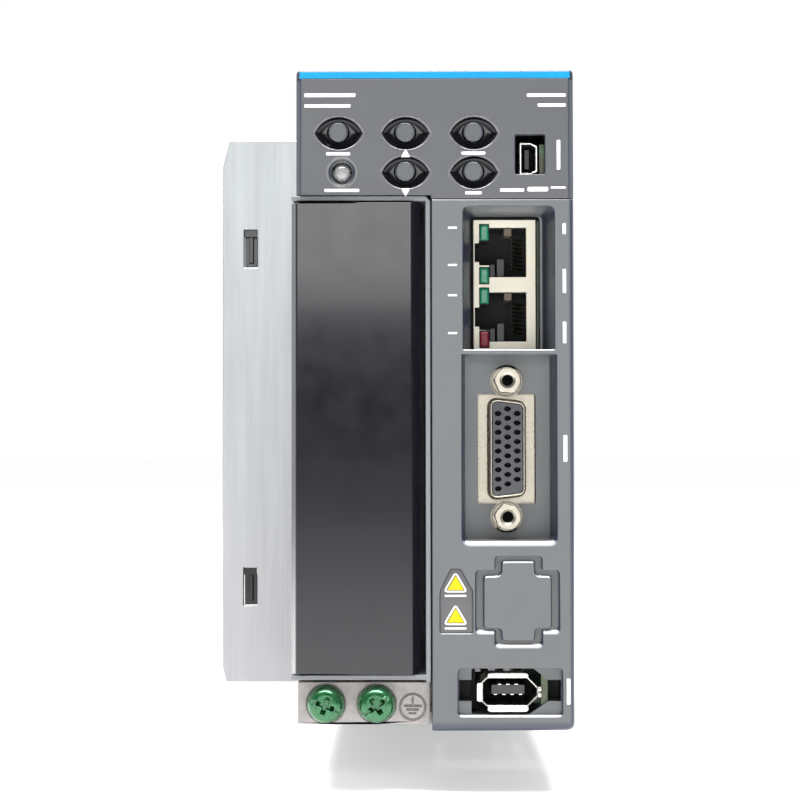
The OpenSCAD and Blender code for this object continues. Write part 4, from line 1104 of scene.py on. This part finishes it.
def jackscrews():
    """Hexagonal standoffs with a chamfered front, a countersunk bore and a round shoulder behind."""
    low, high = span("io_jackscrews")
    middle = centre("io_jackscrews") / MM
    radius = 3.4
    for side, s in (("lower", -1), ("upper", 1)):
        z = middle.z + s * jackscrew_half()
        turn = math.radians(-4 if s > 0 else -10)
        outline = [Vector(((middle.x + radius * math.cos(turn + i * math.pi / 3)) * MM,
                           (z + radius * math.sin(turn + i * math.pi / 3)) * MM)) for i in range(6)]
        screw = prism("io_jackscrew_" + side, outline, low.y, high.y)
        bm = bmesh.new()
        profile = [(0, low.y), (2.9, low.y), (3.15, low.y + 0.1), (3.5, low.y + 0.45), (3.5, low.y + 6.9), (1.45, low.y + 6.9),
                   (1.45, high.y)]
        lathe_y(bm, middle.x * MM, z * MM, [(r * MM, y * MM) for r, y in profile], 64)
        combine(screw, "INTERSECT", [new_object("limit", bm, smooth=False)])
        bm = bmesh.new()
        profile = [(1.95, low.y - 0.5), (1.95, low.y), (1.62, low.y + 0.3), (1.4, low.y + 0.4), (1.4, low.y + 6.4)]
        lathe_y(bm, middle.x * MM, z * MM, [(r * MM, y * MM) for r, y in profile], 48)
        combine(screw, "DIFFERENCE", [new_object("bore", bm, smooth=False)])
        soften(screw, 0.08, 2, 25)
        place(screw, "io_nickel", "body", *(["io_jackscrews"] if s < 0 else []))
        # Painted shade: a black lining inside the bore.
        bore = [Vector((p.x, p.z)) for p in circle_loop(middle.x * MM, z * MM, 1.37 * MM, 0, 32)]
        shade_liner(bore, low.y + 0.7, low.y + 6.2, "io_bore_shade_" + side)
        bm = bmesh.new()
        rows = [(3.65, low.y + 6.95), (3.65, low.y + 6.5), (3.5, low.y + 6.3), (3.0, low.y + 6.3), (1.5, low.y + 6.3), (1.5, low.y + 6.95)]
        loops = [circle_loop(middle.x * MM, z * MM, r * MM, y * MM, 64) for r, y in rows]
        add_loops(bm, loops + [loops[0]])
        place(crisp(new_object("io_washer_" + side, bm)), "io_nickel", "body")


# ---------------------------------------------------------------- encoder socket and service port

def encoder_points(g):
    """Outline of the encoder shell drawn in by g millimetres."""
    a, b = span("encoder_shell")
    x, z = a.x + 8.2, (a.z + b.z) / 2
    return [(x - 8.2 + g, z - 3 + g * 0.6), (x - 6.4 + g * 0.6, z - 4.75 + g), (x + 4.5 - g * 0.3, z - 4.75 + g),
            (x + 7.9 - g, z - 1.4 + g * 0.4), (x + 7.9 - g, z + 1.4 - g * 0.4), (x + 4.5 - g * 0.3, z + 4.75 - g),
            (x - 6.4 + g * 0.6, z + 4.75 - g), (x - 8.2 + g, z + 3 - g * 0.6)]


def tab(bm, start, end, outward, face, reach=1.0, thick=0.32):
    """Flared spring tab along one edge of a shell, in millimetres."""
    profile = [(-0.15, 3.0), (-0.15, 0.5), (-0.1, 0.2), (0.0, 0.06), (0.15, 0.0), (reach * 0.82, 0.0), (reach * 0.95, 0.08),
               (reach, 0.24), (reach * 0.96, 0.44), (0.6, thick + 0.26), (0.4, thick + 0.5), (0.3, 1.4), (0.3, 3.0)]
    along = end - start
    loops = []
    for t, k in ((0.0, 0.72), (0.03, 0.9), (0.07, 1.0), (0.93, 1.0), (0.97, 0.9), (1.0, 0.72)):
        base = start + along * t
        loops.append([Vector(((base.x + outward.x * o * k) * MM, (face + y) * MM, (base.y + outward.y * o * k) * MM))
                      for o, y in profile])
    add_loops(bm, loops, True, True)


def encoder_shell():
    """Bent shell with flared tabs on three sides and two rounded feelers at the pointed end."""
    low, high = span("encoder_shell")
    face = low.y
    points = encoder_points(1.2)
    outer = mm_outline(points, [0.5] * 8, 4)
    inner = offset_outline(outer, 0.3 * MM)
    bm = bmesh.new()
    rows = [outline_loop(outer, (high.y - 0.1) * MM), outline_loop(outer, (face + 1.3) * MM),
            outline_loop(offset_outline(outer, 0.15 * MM), (face + 1.2) * MM),
            outline_loop(inner, (face + 1.3) * MM), outline_loop(inner, (high.y - 0.8) * MM)]
    add_loops(bm, rows, True, True)
    p = [Vector(q) for q in points]
    tab(bm, p[7].lerp(p[0], 0.02), p[7].lerp(p[0], 0.98), Vector((-1, 0)), face, 1.18)
    tab(bm, p[5].lerp(p[6], 0.0), p[5].lerp(p[6], 0.98), Vector((0, 1)), face, 1.12)
    tab(bm, p[1].lerp(p[2], 0.02), p[1].lerp(p[2], 1.0), Vector((0, -1)), face, 1.18)
    tip_x = (p[3].x + p[4].x) / 2
    tip_z = (p[3].y + p[4].y) / 2
    for s in (-1, 1):
        profile = [(0, face + 0.05), (0.32, face + 0.12), (0.55, face + 0.34), (0.66, face + 0.75), (0.62, face + 1.8)]
        lathe_y(bm, (tip_x + 0.2) * MM, (tip_z + s * 0.7) * MM, [(r * MM, y * MM) for r, y in profile], 24)
    place(crisp(new_object("encoder_shell_tabs", bm), 50), "nickel_plate", "body", "encoder_shell")
    # Painted shade: a black lining inside the shell, and black plates at the backs of the slots.
    shade_liner(offset_outline(inner, 0.02 * MM), face + 1.7, high.y - 1.0, "encoder_shade_liner")
    middle = Vector((low.x + 8.2, (low.z + high.z) / 2))
    bm = bmesh.new()
    for x0, z0, x1, z1, deep in ((-12.3, -2.15, -9.5, 2.85, 6.4), (9.1, -2.15, 12.0, 2.85, 6.4), (-12.4, -5.6, -8.3, 5.9, 8.2),
                                 (-9.0, 4.8, 6.5, 5.9, 8.2), (-9.0, -5.6, 6.5, -4.8, 8.2)):
        outline = mm_outline(box_outline(middle.x + x0, middle.y + z0, middle.x + x1, middle.y + z1), [0.05] * 4, 2)
        plate(bm, outline, (face + deep) * MM, (face + deep + 0.4) * MM, 0.02 * MM, 1)
    place(crisp(new_object("encoder_slot_shade", bm)), "dark_plastic", "body", look=SHADE_BLACK)


def shade_liner(outline, front, back, name):
    """Painted shade: a near-black lining inside a shell, open at the front, standing in for the shade in it."""
    inner = offset_outline(outline, 0.12 * MM)
    bm = bmesh.new()
    add_loops(bm, [outline_loop(outline, back * MM), outline_loop(outline, front * MM),
                   outline_loop(inner, front * MM), outline_loop(inner, (back - 0.3) * MM)], True, True)
    return place(crisp(new_object(name, bm)), "dark_plastic", "body", look=SHADE_BLACK)


def encoder_ends():
    """Rounded ends of the contact springs on both sides of the tongue."""
    low, high = span("encoder_tongue")
    bm = bmesh.new()
    wide = (high.x - low.x) / 4
    spots = [(low.x + wide * (i + 1), high.z + 0.1) for i in range(3)] + [(low.x + wide * (i + 0.5), low.z - 0.1) for i in range(4)]
    for x, z in spots:
        outline = mm_outline(box_outline(x - 0.42, z - 0.12, x + 0.42, z + 0.12), [0.11] * 4, 3)
        plate(bm, outline, (low.y - 0.05) * MM, (high.y - 1) * MM, 0.08 * MM)
    place(crisp(new_object("encoder_springs", bm)), "gold_contact", "body", "encoder_contacts", look=SPRING)


def service_port():
    """Painted shade: a black lining inside the service port shell."""
    low, high = span("service_port_shell")
    x0, x1 = low.x + 0.42, high.x - 0.42
    z0, z1 = low.z + 0.42, high.z - 0.42
    shape = [(x0, z0), (x0 + 2.2, z0), (x1, z0 + 0.65), (x1, z1 - 0.65), (x0 + 2.2, z1), (x0, z1)]
    shade_liner(mm_outline(shape, [0.15] * 6, 3), low.y + 0.3, low.y + 7.2, "service_port_shade_liner")


# ---------------------------------------------------------------- earth screws

def earth_screws():
    """Pan heads with a cross recess and a slot, a little uneven under the lacquer."""
    low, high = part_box("ground_screws")
    head_r = (high.z - low.z) / 2
    for side, x in (("left", low.x + head_r), ("right", high.x - head_r)):
        z = (low.z + high.z) / 2
        front = low.y
        seat = front + 3.1 * MM
        profile = [(0, front), (head_r * 0.35, front + 0.03 * MM), (head_r * 0.62, front + 0.14 * MM),
                   (head_r * 0.8, front + 0.42 * MM), (head_r * 0.92, front + 0.95 * MM), (head_r * 0.985, front + 1.6 * MM),
                   (head_r, front + 2.1 * MM), (head_r, seat - 0.15 * MM), (head_r - 0.15 * MM, seat),
                   (1.95 * MM, seat), (1.95 * MM, high.y)]
        bm = bmesh.new()
        lathe_y(bm, x, z, profile, 64)
        screw = new_object("earth_screw_" + side, bm)
        turn = math.radians(20 if side == "left" else -35)
        cutters = []
        for k in range(2):
            bm = bmesh.new()
            wide, thin = head_r * 0.68, head_r * 0.17
            a = [Vector((sx * wide, front - MM, sz * thin)) for sx, sz in ((-1, -1), (1, -1), (1, 1), (-1, 1))]
            b = [Vector((sx * wide * 0.45, front + 1.9 * MM, sz * thin * 0.7)) for sx, sz in ((-1, -1), (1, -1), (1, 1), (-1, 1))]
            add_loops(bm, [a, b], True, True)
            spin = Matrix.Rotation(turn + k * math.pi / 2, 4, "Y")
            for v in bm.verts:
                v.co = spin @ v.co + Vector((x, 0, z))
            cutters.append(new_object("cut_cross", bm))
        bm = bmesh.new()
        a = [Vector((sx * head_r * 1.1, front - MM, sz * head_r * 0.1)) for sx, sz in ((-1, -1), (1, -1), (1, 1), (-1, 1))]
        b = [Vector((p.x, front + 0.85 * MM, p.z)) for p in a]
        add_loops(bm, [a, b], True, True)
        spin = Matrix.Rotation(turn, 4, "Y")
        for v in bm.verts:
            v.co = spin @ v.co + Vector((x, 0, z))
        cutters.append(new_object("cut_slot", bm))
        combine(screw, "DIFFERENCE", cutters)
        soften(screw, 0.1, 2, 40)
        place(screw, "green_steel", "body", *(["ground_screws"] if side == "left" else []))


# ---------------------------------------------------------------- signs and printed marks

def signs():
    """Film in the sign recess with two plain yellow triangles, each on a white one."""
    low, high = span("label_plate")
    bm = bmesh.new()
    plate(bm, sign_outline(0.02), low.y * MM, high.y * MM, 0.05 * MM)
    place(crisp(new_object("sign_film", bm)), "label_dark", "body", "label_plate")
    low, high = span("label_signs")
    tall = 5.2
    sheets = {"sign_borders": (0.0, 0.0, 0.75, bmesh.new()), "sign_lines": (0.42, 0.02, 0.55, bmesh.new()),
              "sign_triangles": (0.56, 0.03, 0.45, bmesh.new())}
    for base in (low.z, high.z - tall):
        corners = [(low.x, base), (high.x, base), ((low.x + high.x) / 2, base + tall)]
        for inset, lift, radius, bm in sheets.values():
            outline = offset_outline(mm_outline(corners, [0.75] * 3, 6), inset * MM)
            plate(bm, outline, (low.y - lift) * MM, high.y * MM, 0.01 * MM, 1)
    place(new_object("sign_borders", sheets["sign_borders"][3]), "label_yellow", "body", look=PRINT)
    place(new_object("sign_lines", sheets["sign_lines"][3]), "label_yellow", "body", look=MATERIALS["label_dark"])
    place(new_object("sign_triangles", sheets["sign_triangles"][3]), "label_yellow", "body", "label_signs")


def printed_marks():
    """Plain bars and triangles where a maker would print words."""
    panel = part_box("operator_panel")[0].y
    bm = bmesh.new()

    def bar(x0, x1, z, tall=0.75):
        outline = mm_outline(box_outline(x0, z - tall / 2, x1, z + tall / 2), [tall * 0.3] * 4, 3)
        plate(bm, outline, panel - 0.03 * MM, panel + 0.02 * MM, 0.01 * MM, 1)

    def upright(x, z0, z1, wide=0.75):
        outline = mm_outline(box_outline(x - wide / 2, z0, x + wide / 2, z1), [wide * 0.3] * 4, 3)
        plate(bm, outline, panel - 0.03 * MM, panel + 0.02 * MM, 0.01 * MM, 1)

    def triangle(x, z, half, up):
        s = 1 if up else -1
        points = [(x - half, z - s * half * 0.85), (x + half, z - s * half * 0.85), (x, z + s * half * 0.9)]
        if not up:
            points.reverse()
        plate(bm, mm_outline(points, [0.1] * 3, 2), panel - 0.03 * MM, panel + 0.02 * MM, 0.01 * MM, 1)

    for name, half, drop in (("mode", 2.9, 5.3), ("shift", 2.9, 5.2), ("set", 2.0, 5.3)):
        middle = centre("key_" + name) / MM
        bar(middle.x - half, middle.x + half, middle.z - drop)
    for name, up in (("up", True), ("down", False)):
        middle = centre("key_" + name) / MM
        triangle(middle.x + 0.1, middle.z - 5.15, 1.15, up)
    lamp = centre("charge_lamp") / MM
    bar(lamp.x - 4.2, lamp.x + 4.2, lamp.z - 4.4)
    low, high = span("operator_panel")
    left, right, top = low.x, high.x, high.z
    bar(left + 2.0, left + 14.4, top - 6.1, 0.9)
    bar(left + 2.0, left + 13.2, top - 8.7, 0.8)
    bar(right - 11.3, right - 1.9, top - 6.2, 0.8)
    bar(right - 8.7, right - 1.9, top - 8.6, 0.8)
    service = centre("service_port_shell") / MM
    bar(service.x - 7.0, service.x - 1.2, service.z - 7.9, 0.8)
    bar(service.x - 0.4, service.x + 4.6, service.z - 7.7, 1.1)
    bar(service.x + 5.2, service.x + 8.8, service.z - 7.3, 0.5)
    upright(service.x + 7.1, service.z - 3.0, service.z + 4.2, 0.9)
    jack = centre("network_jack") / MM
    for z, half in ((12.6, 1.3), (0.0, 2.9), (-12.4, 2.6)):
        upright(right - 2.4, jack.z + z - half, jack.z + z + half, 0.85)
    for z in (12.9, 3.9, -3.4, -12.5):
        bar(3.1, 5.3, jack.z + z, 0.5)
    upright(right - 2.3, centre("io_plate").z / MM - 3.2, centre("io_plate").z / MM + 3.2, 0.95)
    upright(right - 1.75, centre("encoder_shell").z / MM - 2.8, centre("encoder_shell").z / MM + 3.4, 0.9)
    film = span("label_plate")[0].y
    low, high = span("label_signs")
    middle = (low.x + high.x) / 2
    for z in (low.z - 0.8, high.z - 6.0):
        outline = mm_outline(box_outline(middle - 2.6, z - 0.24, middle + 2.6, z + 0.24), [0.15] * 4, 3)
        plate(bm, outline, (film - 0.03) * MM, (film + 0.02) * MM, 0.01 * MM, 1)
    marks = new_object("printed_marks", bm)
    marks.data.materials.append(PRINT)
    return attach(marks, "body")


# ---------------------------------------------------------------- camera, light and floor

def camera():
    """The photograph's viewpoint: a short tele lens level with the middle of the front."""
    yaw, pitch, roll = math.radians(-0.37), math.radians(1.70), math.radians(-0.07)
    ahead = Vector((math.sin(yaw) * math.cos(pitch), math.cos(yaw) * math.cos(pitch), math.sin(pitch)))
    right = Vector((math.cos(yaw), -math.sin(yaw), 0))
    up = right.cross(ahead)
    across = right * math.cos(roll) + up * math.sin(roll)
    above = up * math.cos(roll) - right * math.sin(roll)
    data = bpy.data.cameras.new("camera")
    data.lens = 85.5
    data.sensor_width = 36
    data.clip_start = 0.01
    obj = bpy.data.objects.new("camera", data)
    rotation = Matrix((across, above, -ahead)).transposed().to_4x4()
    obj.matrix_world = Matrix.Translation((-0.0055, -0.6059, -0.0137)) @ rotation
    bpy.context.scene.collection.objects.link(obj)
    bpy.context.scene.camera = obj


def area_light(name, place_at, target, size, power, colour=(1, 1, 1)):
    data = bpy.data.lights.new(name, "AREA")
    data.shape = "RECTANGLE"
    data.size, data.size_y = size
    data.energy = power
    data.color = colour
    obj = bpy.data.objects.new(name, data)
    obj.location = place_at
    obj.rotation_euler = (Vector(target) - Vector(place_at)).to_track_quat("-Z", "Y").to_euler()
    bpy.context.scene.collection.objects.link(obj)


def sky():
    """White all round, softly darker from in front, so that glossy faces have something to reflect."""
    world = bpy.data.worlds.new("studio")
    bpy.context.scene.world = world
    world.use_nodes = True
    tree = world.node_tree
    background = tree.nodes["Background"]
    background.inputs["Strength"].default_value = 1.0
    coords = tree.nodes.new("ShaderNodeTexCoord")
    split = tree.nodes.new("ShaderNodeSeparateXYZ")
    ramp = tree.nodes.new("ShaderNodeMapRange")
    ramp.interpolation_type = "SMOOTHSTEP"
    ramp.inputs["From Min"].default_value = -0.7
    ramp.inputs["From Max"].default_value = 0.75
    ramp.inputs["To Min"].default_value = 0.18
    ramp.inputs["To Max"].default_value = 1.0
    tree.links.new(coords.outputs["Generated"], split.inputs[0])
    tree.links.new(split.outputs["Y"], ramp.inputs["Value"])
    tree.links.new(ramp.outputs["Result"], background.inputs["Color"])


def studio():
    sky()
    area_light("top_light", (-0.05, -0.30, 0.95), (0, -0.14, 0.0), (1.0, 0.5), 42)
    area_light("front_light", (-0.12, -2.0, 0.30), (0, -0.15, 0.0), (1.0, 0.26), 5.4)
    bpy.context.scene.view_settings.view_transform = "Standard"
    low = cad_box[0].z
    bm = bmesh.new()
    bmesh.ops.create_grid(bm, x_segments=8, y_segments=8, size=60.0)
    floor = new_object("floor", bm)
    floor.location.z = low - 0.2 * MM
    floor.data.materials.append(floor_paint())


front_face()
top_strip()
key_caps()
key_wells()
charge_lamp()
jack_inside()
jack_lamps()
io_plate()
io_insulator()
jackscrews()
encoder_shell()
encoder_ends()
service_port()
earth_screws()
signs()
printed_marks()
camera()
studio()
